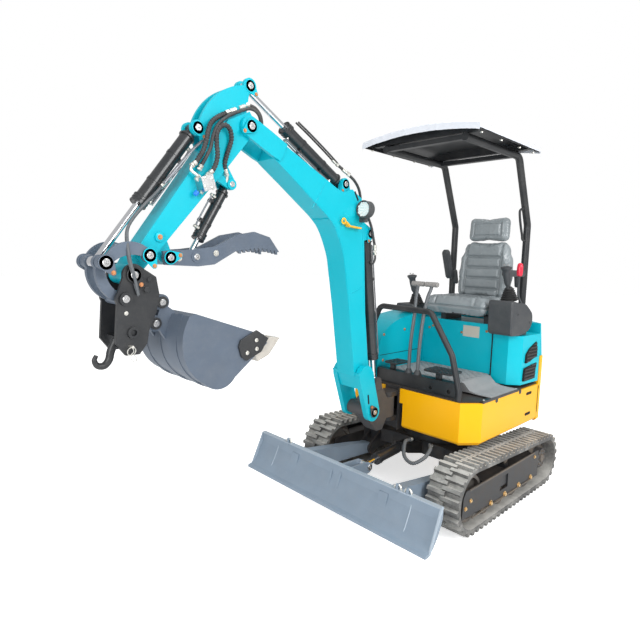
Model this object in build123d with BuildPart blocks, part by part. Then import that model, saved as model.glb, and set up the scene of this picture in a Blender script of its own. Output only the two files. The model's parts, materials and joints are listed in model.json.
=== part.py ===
"""Mini excavator with a two-post canopy, rubber tracks, a front blade, a swing boom,
a quick hitch, a bucket and a hydraulic thumb.

Frame: millimetres, +X forward, +Y to the machine's left, +Z up. Every value below is
measured from the ground under the slewing axis, and save() moves each piece so that the
finished files have their origin on the ground at the middle of the overall length.
"""

from build123d import *
from math import asin, atan2, cos, degrees, hypot, pi, sin, tan
import os

os.makedirs("parts", exist_ok=True)

# General sizes
pin_r = 17.0
pin_gap = 0.1
face_gap = 1.0
plate_t = 8.0

# Tracks
track_span = 1210.0
belt_w = 200.0
belt_t = 22.0
lug_h = 20.0
lug_pitch = 54.0
idler_x = 577.0
idler_r = 204.0
sprocket_x = -450.0
sprocket_r = 180.0
wheel_gap = 0.5
roller_r = 52.0
roller_pitch = 190.0
roller_count = 4
carrier_r = 34.0
carrier_x = 80.0

# Track frames
side_plate_y = 588.0
side_plate_x = (-335.0, 690.0)
side_plate_z = (92.0, 274.0)
inner_plate_y = 436.0
frame_beam_z = (168.0, 250.0)
frame_beam_x = (-300.0, 400.0)
window_x = (130.0, 235.0)
window_z = (150.0, 236.0)

# Undercarriage centre
ring_r = 235.0
ring_hole_r = 150.0
ring_z = (368.0, 420.0)
hub_z = (225.0, 368.0)
leg_x = 250.0
leg_w = 120.0

# Blade
blade_pivot = (380.0, 190.0)
blade_arm_y = 345.0
blade_arm_w = 60.0
blade_w = 1370.0
blade_wing_w = 170.0
blade_top_x = 1068.0
blade_edge_x = 1205.0
blade_z = (146.0, 356.0)
blade_t = 10.0
blade_rod_pin = (833.0, 282.0)
blade_base_pin = (461.0, 312.0)

# Upper deck
deck_z = 705.0
deck_t = 15.0
deck_front_x = 459.0
deck_half_w = 498.0
deck_corner = 115.0
tail_r = 720.0
skirt_z = (421.0, 698.0)
skirt_t = 12.0
skirt_chamfer = 34.0
skirt_rear_x = -474.0
base_plate_z = (421.0, 441.0)
main_rib_y = 92.0
floor_z = 770.0
toe_beam_x = (352.0, 408.0)
toe_beam_z = 797.0
toe_beam_y = (-300.0, 345.0)

# Boom swing; the working group stands to the right of the centre plane
boom_y = -90.0
swing_x = 512.0
swing_pin_r = 24.0
bracket_x = 446.0
bracket_w = 130.0
cheek_t = 9.0
upper_lug_z = (652.0, 680.0)
lower_lug_z = (488.0, 515.0)
swing_base_pin = (60.0, -300.0)
swing_arm = (25.0, -128.0)
swing_arm_z = (530.0, 548.0)

# Boom pins, side view (x, z)
foot_pin = (788.0, 612.0)
post_pin = (667.0, 769.0)
boom_cyl_pin = (814.0, 1698.0)
arm_cyl_pin = (1053.0, 1962.0)
arm_pivot = (1750.0, 2135.0)
foot_w = 215.0
foot_ear_t = 34.0
boom_w = 136.0
boom_tip_gap = 118.0
boom_tip_t = 18.0

# Arm pins, side view (x, z)
arm_tip = (2315.0, 1451.0)
rocker_pin = (2260.0, 1530.0)
bucket_cyl_pin = (2009.0, 2084.0)
arm_rod_pin = (1732.0, 2328.0)
thumb_pin = (2153.0, 1523.0)
thumb_cyl_pin = (1827.0, 1866.0)
arm_w = 112.0
arm_tip_w = 120.0

# Linkage and tools, side view (x, z)
link_joint = (2435.0, 1498.0)
hitch_pin = (2349.0, 1357.0)
bucket_pin_a = (2181.0, 1336.0)
bucket_pin_b = (2210.0, 1249.0)
thumb_rod_pin = (2024.0, 1529.0)
thumb_tip = (1554.0, 1565.0)
hitch_plate_y = 68.0
hitch_plate_t = 16.0
rocker_y = 90.0
rocker_t = 14.0
link_eye_r = 30.0
link_y = 34.0
link_t = 22.0
bucket_w = 400.0
bucket_side_t = 12.0

# Hydraulic cylinders: barrel radius, rod radius
boom_cyl = (36.0, 19.0)
arm_cyl = (31.0, 15.0)
bucket_cyl = (30.0, 15.0)
thumb_cyl = (24.0, 12.0)
blade_cyl = (32.0, 15.0)
swing_cyl = (30.0, 15.0)
cyl_wall = 6.0
eye_w = 44.0

# Canopy
post_y = 294.0
post_d = 50.0
knee_x = -590.0
knee_z = 1835.0
post_top_x = -372.0
beam_z = 2300.0
beam_front_x = 380.0
roof_x = (-385.0, 460.0)
roof_w = 854.0
roof_z = 2346.0
roof_rise = 42.0
roof_t = 6.0
roof_rim = 34.0

# Bodywork
hood_inner_y = -266.0
hood_top_z = 1160.0
panel_x = -150.0
panel_y = 292.0
cover_z = (722.0, 1060.0)
body_t = 8.0
rear_hood_z = (900.0, 1130.0)

# Seat
seat_w = 480.0
seat_y = 70.0
seat_front_x = -5.0
seat_top_z = 1290.0
seat_len = 420.0


def lateral(y):
    """Upright plane facing the right side, at the lateral place y: local x = X, local y = Z."""
    return Plane.XZ.offset(-y)


def toward(a, b):
    """Unit vector from side-view point a to b."""
    d = hypot(b[0] - a[0], b[1] - a[1])
    return ((b[0] - a[0]) / d, (b[1] - a[1]) / d)


def span(a, b):
    """Distance between two side-view points."""
    return hypot(b[0] - a[0], b[1] - a[1])


def along(a, b, s, n=0.0):
    """Point at s from a towards b, and n to the left of that line."""
    u = toward(a, b)
    return (a[0] + u[0] * s - u[1] * n, a[1] + u[1] * s + u[0] * n)


def boss(point, radius, y0, y1):
    """Round boss or pin across the machine, from y0 to y1, added to the current part."""
    with BuildSketch(lateral(max(y0, y1))) as disc:
        with Locations(point):
            Circle(radius)
    extrude(disc.sketch, amount=abs(y1 - y0))


def bore(point, radius, y0, y1):
    """Round hole across the machine, from y0 to y1, cut from the current part."""
    with BuildSketch(lateral(max(y0, y1))) as disc:
        with Locations(point):
            Circle(radius)
    extrude(disc.sketch, amount=abs(y1 - y0), mode=Mode.SUBTRACT)


def plate(points, y0, y1, mode=Mode.ADD):
    """Flat plate with the side outline given, between y0 and y1."""
    with BuildSketch(lateral(max(y0, y1))) as outline:
        with BuildLine():
            Polyline(*points, close=True)
        make_face()
    extrude(outline.sketch, amount=abs(y1 - y0), mode=mode)


def bar(a, b, ra, rb, y0, y1):
    """Link plate with rounded ends: the hull of a circle at a and a circle at b."""
    with BuildSketch(lateral(max(y0, y1))) as outline:
        with Locations(a):
            Circle(ra)
        with Locations(b):
            Circle(rb)
        make_hull()
    extrude(outline.sketch, amount=abs(y1 - y0))


def axis_plane(a, b, y=0.0):
    """Plane at side-view point a whose normal points to b."""
    u = toward(a, b)
    return Plane(origin=(a[0], y, a[1]), x_dir=(0, 1, 0), z_dir=(u[0], 0, u[1]))


def make_barrel(base, rod_end, sizes, length, y=0.0):
    """Cylinder barrel hinged at base, pointing at rod_end, open at its gland end."""
    barrel_r, rod_r = sizes
    bottom = barrel_r + 14.0
    start = axis_plane(base, rod_end, y)
    with BuildPart() as part:
        boss(base, barrel_r * 0.8, y - eye_w / 2, y + eye_w / 2)
        with BuildSketch(start.offset(barrel_r * 0.5)):
            Circle(barrel_r * 0.6)
        extrude(amount=bottom)
        with BuildSketch(start.offset(bottom - 6.0)):
            Circle(barrel_r)
        extrude(amount=length - bottom + 6.0)
        with BuildSketch(start.offset(length - 30.0)):
            Circle(barrel_r + 5.0)
        extrude(amount=30.0)
        with BuildSketch(start.offset(bottom + 14.0)):
            Circle(barrel_r - cyl_wall)
        extrude(amount=length - bottom - 14.0 - 26.0, mode=Mode.SUBTRACT)
        with BuildSketch(start.offset(length - 40.0)):
            Circle(rod_r + 2 * pin_gap)
        extrude(amount=60.0, mode=Mode.SUBTRACT)
        bore(base, pin_r + pin_gap, y - eye_w, y + eye_w)
    return part.part


def make_rod(base, rod_end, sizes, inner, y=0.0):
    """Cylinder rod with its pinned eye at rod_end and its inner end at the distance inner from base."""
    barrel_r, rod_r = sizes
    reach = span(base, rod_end)
    start = axis_plane(base, rod_end, y)
    eye_r = barrel_r * 0.8
    with BuildPart() as part:
        boss(rod_end, eye_r, y - eye_w / 2, y + eye_w / 2)
        with BuildSketch(start.offset(inner)):
            Circle(rod_r)
        extrude(amount=reach - eye_r * 0.8 - inner)
    return part.part


# Middle of the overall length, from the tail to the eye of the rocker links
middle_x = (link_joint[0] + link_eye_r - tail_r) / 2


def save(part, name, y=0.0):
    """Label a finished piece, move it sideways by y and to the common origin, and write it to its own file."""
    part = part.moved(Location((-middle_x, y, 0)))
    part.label = name
    export_step(part, "parts/" + name + ".step")


# Track geometry
idler_z = idler_r
sprocket_z = sprocket_r
track_y = (track_span - belt_w) / 2
loop_gap = hypot(idler_x - sprocket_x, idler_z - sprocket_z)
loop_tilt = atan2(idler_z - sprocket_z, idler_x - sprocket_x)
loop_slant = loop_tilt + asin((idler_r - sprocket_r) / loop_gap)
sprocket_top_angle = degrees(pi / 2 + loop_slant)


def loop_sketch(inset):
    """Belt outline, drawn in by inset from the lug tips."""
    with Locations((idler_x, idler_z)):
        Circle(idler_r - inset)
    with Locations((sprocket_x, sprocket_z)):
        Circle(sprocket_r - inset)
    make_hull()


def loop_place(s, inset):
    """Point and outward direction at the length s along the loop, from the sprocket's lowest point."""
    ri = idler_r - inset
    rs = sprocket_r - inset
    flat = idler_x - sprocket_x
    front = ri * (pi + loop_slant)
    back = rs * (pi - loop_slant)
    total = 2 * flat + front + back
    s = s % total
    if s < flat:
        return (sprocket_x + s, inset), -90.0
    s -= flat
    if s < front:
        a = -pi / 2 + s / ri
        return (idler_x + ri * cos(a), idler_z + ri * sin(a)), degrees(a)
    s -= front
    a = pi / 2 + loop_slant
    if s < flat:
        start = (idler_x + ri * cos(a), idler_z + ri * sin(a))
        return (start[0] - s * cos(loop_slant), start[1] - s * sin(loop_slant)), degrees(a)
    s -= flat
    a += s / rs
    return (sprocket_x + rs * cos(a), sprocket_z + rs * sin(a)), degrees(a)


loop_len = (2 * (idler_x - sprocket_x) + (idler_r - lug_h) * (pi + loop_slant)
            + (sprocket_r - lug_h) * (pi - loop_slant))
lug_count = round(loop_len / lug_pitch)


def make_track(side):
    """Rubber belt with two staggered rows of tread lugs; side is 1 for left, -1 for right."""
    y_out = track_y + belt_w / 2
    y_in = track_y - belt_w / 2
    lug_len = belt_w * 0.56
    with BuildPart() as track:
        with BuildSketch(lateral(y_out)):
            loop_sketch(lug_h)
        extrude(amount=belt_w)
        with BuildSketch(lateral(y_out)):
            loop_sketch(lug_h + belt_t)
        extrude(amount=belt_w, mode=Mode.SUBTRACT)
        for row in (0, 1):
            edge = y_out if row == 0 else y_in + lug_len
            with BuildSketch(lateral(edge)):
                for k in range(lug_count):
                    s = (k + 0.5 * row) * loop_len / lug_count
                    place, angle = loop_place(s, lug_h)
                    with Locations(Location((place[0], place[1], 0), (0, 0, angle))):
                        with Locations((lug_h / 2 - 1.0, 0)):
                            Trapezoid(lug_pitch * 0.6, lug_h + 2.0, 74, rotation=-90)
            extrude(amount=lug_len)
        if side < 0:
            mirror(about=Plane.XZ, mode=Mode.REPLACE)
    return track.part


save(make_track(1), "track_left")
save(make_track(-1), "track_right")

# Track wheels: idlers, sprockets, rollers and carrier rollers
tread = lug_h + belt_t
idler_wheel_r = idler_r - tread - wheel_gap
sprocket_wheel_r = sprocket_r - tread - wheel_gap
roller_z = tread + wheel_gap + roller_r
roller_first_x = -205.0
carrier_z = (sprocket_z + (sprocket_r - tread) / cos(loop_slant) + (carrier_x - sprocket_x) * tan(loop_slant)
             - carrier_r - 2 * wheel_gap)
with BuildPart() as track_wheels:
    boss((idler_x, idler_z), idler_wheel_r, track_y - 28, track_y + 28)
    boss((idler_x, idler_z), idler_wheel_r - 26, track_y - 60, track_y + 60)
    for y in (track_y - 60, track_y + 60):
        with BuildSketch(lateral(y)):
            with Locations((idler_x, idler_z)):
                Circle(idler_wheel_r - 44)
                Circle(46, mode=Mode.SUBTRACT)
        extrude(amount=24, both=True, mode=Mode.SUBTRACT)
    with BuildSketch(lateral(track_y + 18)):
        with Locations((sprocket_x, sprocket_z)):
            Circle(sprocket_wheel_r - 18)
            with PolarLocations(sprocket_wheel_r - 20, 11):
                Trapezoid(44, 40, 70, rotation=-90)
    extrude(amount=36)
    for k in range(roller_count):
        x = roller_first_x + k * roller_pitch
        boss((x, roller_z), roller_r, track_y - 56, track_y - 20)
        boss((x, roller_z), roller_r, track_y + 20, track_y + 56)
        boss((x, roller_z), roller_r - 18, track_y - 56, track_y + 56)
        boss((x, roller_z), 14, inner_plate_y + plate_t, side_plate_y - plate_t)
    boss((carrier_x, carrier_z), carrier_r, track_y - 40, track_y + 40)
    mirror(about=Plane.XZ)
save(track_wheels.part, "track_wheels")

# Track frames: a beam with roller plates, an idler yoke and a motor plate
with BuildPart() as track_frames:
    x0, x1 = side_plate_x
    z0, z1 = side_plate_z
    plate([(x0, z0), (x1, z0 + 26), (x1 - 8, z1 - 34), (x1 - 34, z1), (x0, z1)],
          side_plate_y, side_plate_y - plate_t)
    plate([(window_x[0], window_z[0]), (window_x[1], window_z[0]),
           (window_x[1], window_z[1]), (window_x[0], window_z[1])],
          side_plate_y + 1, side_plate_y - plate_t - 1, Mode.SUBTRACT)
    plate([(x0 - 115, z0 + 20), (x0 + 60, z0), (x1 - 60, z0), (x1 - 60, z1), (x0, z1), (x0 - 115, z1)],
          inner_plate_y + plate_t, inner_plate_y)
    bore((sprocket_x, sprocket_z), 62, inner_plate_y - 1, inner_plate_y + plate_t + 1)
    plate([(frame_beam_x[0], frame_beam_z[0]), (frame_beam_x[1], frame_beam_z[0]),
           (frame_beam_x[1], frame_beam_z[1]), (frame_beam_x[0], frame_beam_z[1])],
          side_plate_y - plate_t, inner_plate_y + plate_t)
    boss((idler_x, idler_z), 22, inner_plate_y + plate_t, track_y - 60)
    boss((idler_x, idler_z), 22, track_y + 60, side_plate_y - plate_t)
    with BuildSketch(Plane.XY.offset(frame_beam_z[1])):
        with Locations((carrier_x, track_y)):
            Rectangle(50, 90)
    extrude(amount=carrier_z - carrier_r - frame_beam_z[1])
    mirror(about=Plane.XZ)
save(track_frames.part, "track_frames")

# Travel motors
with BuildPart() as travel_motors:
    boss((sprocket_x, sprocket_z), 60, inner_plate_y - 30, inner_plate_y + 30)
    boss((sprocket_x, sprocket_z), 88, inner_plate_y + plate_t, track_y - 18)
    boss((sprocket_x, sprocket_z), 66, track_y + 18, track_y + 62)
    mirror(about=Plane.XZ)
save(travel_motors.part, "travel_motors")

# Undercarriage centre frame
with BuildPart() as undercarriage_frame:
    with BuildSketch(Plane.XY.offset(hub_z[0])):
        Rectangle(520, 420)
        for sx in (-1, 1):
            for sy in (-1, 1):
                with BuildLine():
                    Polyline((sx * (leg_x - leg_w), sy * 160), (sx * leg_x, sy * 160),
                             (sx * (leg_x + leg_w / 2), sy * inner_plate_y),
                             (sx * (leg_x - leg_w / 2), sy * inner_plate_y), close=True)
                make_face()
    extrude(amount=90)
    with BuildSketch(Plane.XY.offset(hub_z[0])):
        Circle(ring_r + 12)
    extrude(amount=hub_z[1] - hub_z[0])
    with BuildSketch(Plane.XY.offset(hub_z[0] - 20)):
        Circle(ring_hole_r - 30)
    extrude(amount=hub_z[1] - hub_z[0] + 40, mode=Mode.SUBTRACT)
    for y in (blade_arm_y - blade_arm_w / 2 - 16 - face_gap, blade_arm_y + blade_arm_w / 2 + face_gap):
        bar(blade_pivot, (leg_x + 20, 260), 36, 40, y, y + 16)
    boss(blade_pivot, pin_r, blade_arm_y - blade_arm_w / 2 - 20, blade_arm_y + blade_arm_w / 2 + 20)
    for y in (eye_w / 2 + 2, -eye_w / 2 - 18):
        plate([(250, hub_z[0]), (430, 270), (blade_base_pin[0] + 30, blade_base_pin[1] - 8),
               (blade_base_pin[0] + 16, blade_base_pin[1] + 28), (blade_base_pin[0] - 26, blade_base_pin[1] + 24),
               (250, hub_z[0] + 90)], y, y + 16)
    boss(blade_base_pin, pin_r, -eye_w / 2 - 22, eye_w / 2 + 22)
    mirror(about=Plane.XZ)
save(undercarriage_frame.part, "undercarriage_frame")

with BuildPart() as slew_ring:
    with BuildSketch(Plane.XY.offset(ring_z[0])):
        Circle(ring_r)
        Circle(ring_hole_r, mode=Mode.SUBTRACT)
    extrude(amount=ring_z[1] - ring_z[0])
save(slew_ring.part, "slew_ring")

# Blade: curved mouldboard with bolted wings, two push arms and the rod clevis
blade_bow = 26.0
with BuildPart() as blade:
    with BuildSketch(lateral(blade_w / 2)):
        with BuildLine():
            front_top = (blade_top_x, blade_z[1])
            front_low = (blade_edge_x - 30, blade_z[0])
            mid = ((front_top[0] + front_low[0]) / 2 - blade_bow, (front_top[1] + front_low[1]) / 2 - blade_bow / 2)
            ThreePointArc(front_top, mid, front_low)
            Line(front_low, (front_low[0] + 30, front_low[1]))
            Line((front_low[0] + 30, front_low[1]), (front_low[0] + 30 - 3, front_low[1] + 14))
            Line((front_low[0] + 27, front_low[1] + 14), (front_low[0] + 2, front_low[1] + 20))
            back = (mid[0] + blade_t, mid[1] + blade_t)
            ThreePointArc((front_low[0] + 2, front_low[1] + 20), back, (front_top[0] + 18, front_top[1] - 4))
            Line((front_top[0] + 18, front_top[1] - 4), (front_top[0] + 18, front_top[1] + 2))
            Line((front_top[0] + 18, front_top[1] + 2), front_top)
        make_face()
    extrude(amount=blade_w)
    back_low = (blade_edge_x - 120, blade_z[0] + 10)
    for y in (blade_arm_y, -blade_arm_y):
        bar(blade_pivot, (blade_pivot[0] + 40, blade_pivot[1] + 10), 34, 34,
            y - blade_arm_w / 2, y + blade_arm_w / 2)
        plate([(blade_pivot[0], blade_pivot[1] - 34), (blade_top_x + 62, blade_z[0] + 44),
               (blade_top_x + 22, blade_z[1] - 40), (blade_top_x - 60, blade_z[1] - 40),
               (blade_pivot[0] + 180, blade_pivot[1] + 66), (blade_pivot[0], blade_pivot[1] + 34)],
              y - blade_arm_w / 2, y + blade_arm_w / 2)
    for y in (eye_w / 2 + 3, -eye_w / 2 - 19):
        plate([(blade_rod_pin[0] - 30, blade_rod_pin[1] - 14), (blade_rod_pin[0] - 8, blade_rod_pin[1] - 32),
               (blade_top_x + 70, blade_z[0] + 40), (blade_top_x + 16, blade_z[1] - 30),
               (blade_rod_pin[0] + 10, blade_rod_pin[1] + 32), (blade_rod_pin[0] - 26, blade_rod_pin[1] + 18)],
              y, y + 16)
        boss(blade_rod_pin, pin_r, y, y + 16)
    with BuildSketch(Plane.YZ.offset(blade_top_x - 150)):
        with Locations((0, blade_z[0] + 62)):
            Rectangle(2 * blade_arm_y, 60)
    extrude(amount=60)
    for y in (blade_arm_y, -blade_arm_y):
        bore(blade_pivot, pin_r + pin_gap, y - blade_arm_w, y + blade_arm_w)
    for y in (490.0, 425.0, -425.0):
        bar((blade_top_x + 9, blade_z[1] - 6), (blade_top_x + 9, blade_z[1] + 20), 12, 12, y - 7, y + 7)
        bore((blade_top_x + 9, blade_z[1] + 20), 6, y - 8, y + 8)
save(blade.part, "blade")

save(make_barrel(blade_base_pin, blade_rod_pin, blade_cyl, 260.0), "blade_barrel")
save(make_rod(blade_base_pin, blade_rod_pin, blade_cyl, 120.0), "blade_rod")


# Upper deck: outline shared by the deck plate, the skirts and the counterweight
def deck_outline(inset=0.0):
    """Plan of the deck: straight sides, chamfered front corners and a round tail."""
    w = deck_half_w - inset
    front = deck_front_x - inset
    r = tail_r - inset
    side_end = -(r * r - w * w) ** 0.5
    with BuildLine() as outline:
        Polyline((side_end, -w), (front - deck_corner, -w), (front, -w + deck_corner * 0.75),
                 (front, w - deck_corner * 0.75), (front - deck_corner, w), (side_end, w))
        ThreePointArc((side_end, w), (-r, 0), (side_end, -w))
    make_face(outline.edges())


def plan_box(x0, x1, y0, y1, mode=Mode.ADD):
    """Rectangle in plan between the four sides given."""
    with Locations(((x0 + x1) / 2, (y0 + y1) / 2)):
        Rectangle(x1 - x0, y1 - y0, mode=mode)


bracket_y = (boom_y - bracket_w / 2, boom_y + bracket_w / 2)
with BuildPart() as upper_frame:
    with BuildSketch(Plane.XY.offset(deck_z - deck_t)):
        deck_outline(skirt_t + face_gap)
        plan_box(-800, skirt_rear_x, -600, 600, Mode.SUBTRACT)
    extrude(amount=deck_t)
    with BuildSketch(Plane.XY.offset(base_plate_z[0])):
        plan_box(-470, 360, bracket_y[0] - 90, bracket_y[1] + 150)
        Circle(ring_r + 20)
        Circle(ring_hole_r - 30, mode=Mode.SUBTRACT)
    extrude(amount=base_plate_z[1] - base_plate_z[0])
    with BuildSketch(Plane.XY.offset(base_plate_z[1])):
        for y in bracket_y:
            plan_box(-470, 360, y - cheek_t, y)
    extrude(amount=deck_z - deck_t - base_plate_z[1])
    for z0, z1 in ((base_plate_z[0], lower_lug_z[1]), (upper_lug_z[0], deck_z - deck_t)):
        with BuildSketch(Plane.XY.offset(z0)):
            plan_box(340, bracket_x, bracket_y[0], bracket_y[1])
        extrude(amount=z1 - z0)
    with BuildSketch(Plane.XY.offset(base_plate_z[0])):
        plan_box(350, bracket_x + 26, bracket_y[1] - cheek_t, bracket_y[1])
    extrude(amount=deck_z - base_plate_z[0])
    for z0, z1 in (upper_lug_z, lower_lug_z):
        with BuildSketch(Plane.XY.offset(z0)):
            with Locations((swing_x, boom_y)):
                Circle(50)
            with Locations((bracket_x, boom_y)):
                Rectangle(20, bracket_w - 20)
            make_hull()
        extrude(amount=z1 - z0)
    with BuildSketch(Plane.XY.offset(lower_lug_z[0])):
        with Locations((swing_x, boom_y)):
            Circle(swing_pin_r)
    extrude(amount=upper_lug_z[1] - lower_lug_z[0])
    for z0, z1 in ((base_plate_z[1], swing_arm_z[1]), (swing_arm_z[1] + eye_w + 4, deck_z - deck_t)):
        with BuildSketch(Plane.XY.offset(z0)):
            plan_box(swing_base_pin[0] - 30, swing_base_pin[0] + 26, swing_base_pin[1] - 30, swing_base_pin[1] + 26)
        extrude(amount=z1 - z0)
    with BuildSketch(Plane.XY.offset(base_plate_z[0])):
        plan_box(swing_base_pin[0] - 60, swing_base_pin[0] + 60, swing_base_pin[1] - 30, bracket_y[0])
    extrude(amount=base_plate_z[1] - base_plate_z[0])
    with BuildSketch(Plane.XY.offset(swing_arm_z[1])):
        with Locations(swing_base_pin):
            Circle(pin_r)
    extrude(amount=eye_w + 4)
save(upper_frame.part, "upper_frame")

# Side skirts
with BuildPart() as side_skirts:
    with BuildSketch(Plane.XY.offset(skirt_z[0] + skirt_chamfer)):
        deck_outline()
    extrude(amount=skirt_z[1] - skirt_z[0] - skirt_chamfer)
    with BuildSketch(Plane.XY.offset(skirt_z[0] + skirt_chamfer)):
        deck_outline()
    extrude(amount=-skirt_chamfer, taper=40)
    with BuildSketch(Plane.XY.offset(skirt_z[0] - 1)):
        with BuildLine():
            w = deck_half_w - skirt_t
            front = deck_front_x - skirt_t
            Polyline((-800, -w), (front - deck_corner, -w), (front, -w + deck_corner * 0.75),
                     (front, w - deck_corner * 0.75), (front - deck_corner, w), (-800, w), close=True)
        make_face()
    extrude(amount=skirt_z[1] - skirt_z[0] + 2, mode=Mode.SUBTRACT)
    with BuildSketch(Plane.XY.offset(skirt_z[0] - 1)):
        plan_box(-800, skirt_rear_x, -600, 600)
        plan_box(0, 600, bracket_y[0], bracket_y[1])
    extrude(amount=skirt_z[1] - skirt_z[0] + 2, mode=Mode.SUBTRACT)
    with BuildSketch(Plane.XY.offset(skirt_z[0] - 1)):
        plan_box(300, 600, -340, 0)
    extrude(amount=swing_arm_z[1] + eye_w + 12 - skirt_z[0], mode=Mode.SUBTRACT)
save(side_skirts.part, "side_skirts")

# Counterweight
with BuildPart() as counterweight:
    with BuildSketch(Plane.XY.offset(skirt_z[0])):
        deck_outline()
        plan_box(skirt_rear_x - 4, 900, -600, 600, Mode.SUBTRACT)
    extrude(amount=rear_hood_z[0] - skirt_z[0])
    with BuildSketch(Plane.XY.offset(skirt_z[0] + 130)):
        plan_box(-600, skirt_rear_x, -380, 380)
    extrude(amount=600, mode=Mode.SUBTRACT)
    chamfer(counterweight.faces().sort_by(Axis.Z)[0].edges(), 20)
save(counterweight.part, "counterweight")

# Rear hood above the counterweight
with BuildPart() as rear_hood:
    with BuildSketch(Plane.XY.offset(rear_hood_z[0] + face_gap)):
        deck_outline(6)
        plan_box(skirt_rear_x - 4, 900, -600, 600, Mode.SUBTRACT)
    extrude(amount=rear_hood_z[1] - rear_hood_z[0] - face_gap, taper=4)
    with BuildSketch(Plane.XY.offset(rear_hood_z[0])):
        plan_box(-600, skirt_rear_x, -380, 380)
    extrude(amount=rear_hood_z[1] - rear_hood_z[0] - 20, mode=Mode.SUBTRACT)
save(rear_hood.part, "rear_hood")

# Right hood
with BuildPart() as right_hood:
    with BuildSketch(lateral(hood_inner_y)):
        with BuildLine():
            Line((skirt_rear_x, deck_z + 1), (410, deck_z + 1))
            Line((410, deck_z + 1), (404, 850))
            Spline((404, 850), (355, 1020), (60, 1140), (-150, hood_top_z))
            Line((-150, hood_top_z), (skirt_rear_x, hood_top_z))
            Line((skirt_rear_x, hood_top_z), (skirt_rear_x, deck_z + 1))
        make_face()
    extrude(amount=deck_half_w + hood_inner_y)
    with BuildSketch(lateral(hood_inner_y - body_t)):
        with BuildLine():
            Line((skirt_rear_x + body_t, deck_z), (402, deck_z))
            Line((402, deck_z), (396, 846))
            Spline((396, 846), (348, 1013), (57, 1132), (-150, hood_top_z - body_t))
            Line((-150, hood_top_z - body_t), (skirt_rear_x + body_t, hood_top_z - body_t))
            Line((skirt_rear_x + body_t, hood_top_z - body_t), (skirt_rear_x + body_t, deck_z))
        make_face()
    extrude(amount=deck_half_w + hood_inner_y - 2 * body_t, mode=Mode.SUBTRACT)
save(right_hood.part, "right_hood")

# Seat base: front panel and top over the engine bay
with BuildPart() as seat_base:
    with BuildSketch(Plane.XY.offset(deck_z + 1)):
        plan_box(skirt_rear_x, panel_x, hood_inner_y + 1, panel_y)
    extrude(amount=hood_top_z - 40 - deck_z)
    with BuildSketch(Plane.XY.offset(deck_z + 1)):
        plan_box(skirt_rear_x - 1, panel_x - body_t, hood_inner_y + 1 + body_t, panel_y - body_t)
    extrude(amount=hood_top_z - 40 - deck_z - body_t, mode=Mode.SUBTRACT)
save(seat_base.part, "seat_base")

# Left side cover with two grilles
with BuildPart() as left_cover:
    with BuildSketch(Plane.XY.offset(cover_z[0])):
        with BuildLine():
            Polyline((skirt_rear_x, panel_y + 6), (panel_x, panel_y + 6), (panel_x, deck_half_w - 90),
                     (panel_x - 70, deck_half_w - 20), (skirt_rear_x, deck_half_w - 6), close=True)
        make_face()
    extrude(amount=cover_z[1] - cover_z[0])
    with BuildSketch(Plane.XY.offset(cover_z[0] - 1)):
        plan_box(skirt_rear_x + body_t, panel_x - 78, panel_y + 6 + body_t, deck_half_w - 30)
    extrude(amount=cover_z[1] - cover_z[0] - body_t, mode=Mode.SUBTRACT)
save(left_cover.part, "left_cover")

with BuildPart() as engine_block:
    with BuildSketch(Plane.XY.offset(deck_z)):
        plan_box(-440, -190, -220, 200)
    extrude(amount=330)
save(engine_block.part, "engine_block")

# Floor and toe beam
with BuildPart() as floor:
    with BuildSketch(Plane.XY.offset(deck_z)):
        plan_box(panel_x + 2, toe_beam_x[0], toe_beam_y[0] + 40, 290)
    extrude(amount=floor_z - deck_z)
    with BuildSketch(Plane.XY.offset(deck_z)):
        plan_box(toe_beam_x[0], toe_beam_x[1], toe_beam_y[0] + 40, toe_beam_y[1])
    extrude(amount=toe_beam_z - deck_z)
    for y in (170.0, 300.0):
        with BuildSketch(Plane.YZ.offset(toe_beam_x[1])):
            with Locations((y, deck_z + 34)):
                Circle(13)
        extrude(amount=-20, mode=Mode.SUBTRACT)
save(floor.part, "floor")

# Pedals and travel levers
with BuildPart() as pedals_and_levers:
    for y in (-150.0, 170.0):
        with BuildSketch(Plane.XY.offset(toe_beam_z)):
            plan_box(362, 390, y - 14, y + 14)
        extrude(amount=26)
        with BuildSketch(Plane.XY.offset(toe_beam_z + 26)):
            plan_box(300, 405, y - 55, y + 55)
        extrude(amount=10)
    for y in (-20.0, 50.0):
        with BuildSketch(Plane.XY.offset(toe_beam_z)):
            plan_box(370, 390, y - 10, y + 10)
        extrude(amount=500)
save(pedals_and_levers.part, "pedals_and_levers")

# Control consoles with joysticks
with BuildPart() as consoles:
    for y0, y1 in ((316.0, 480.0), (-340.0, -190.0)):
        with BuildSketch(Plane.XY.offset(hood_top_z + 2 if y0 < 0 else cover_z[1] + 40)):
            plan_box(-300, -20, y0, y1)
        extrude(amount=90 if y0 < 0 else 190)
save(consoles.part, "consoles")

with BuildPart() as joysticks:
    for y, z in ((398.0, cover_z[1] + 230), (-265.0, hood_top_z + 92)):
        with BuildSketch(Plane.XY.offset(z)):
            with Locations((-110, y)):
                Circle(38)
        extrude(amount=60, taper=16)
        with BuildSketch(Plane.XY.offset(z + 60)):
            with Locations((-110, y)):
                Circle(13)
        extrude(amount=70)
        with BuildSketch(Plane.XY.offset(z + 130)):
            with Locations((-110, y)):
                Ellipse(24, 19)
        extrude(amount=80)
save(joysticks.part, "joysticks")

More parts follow.
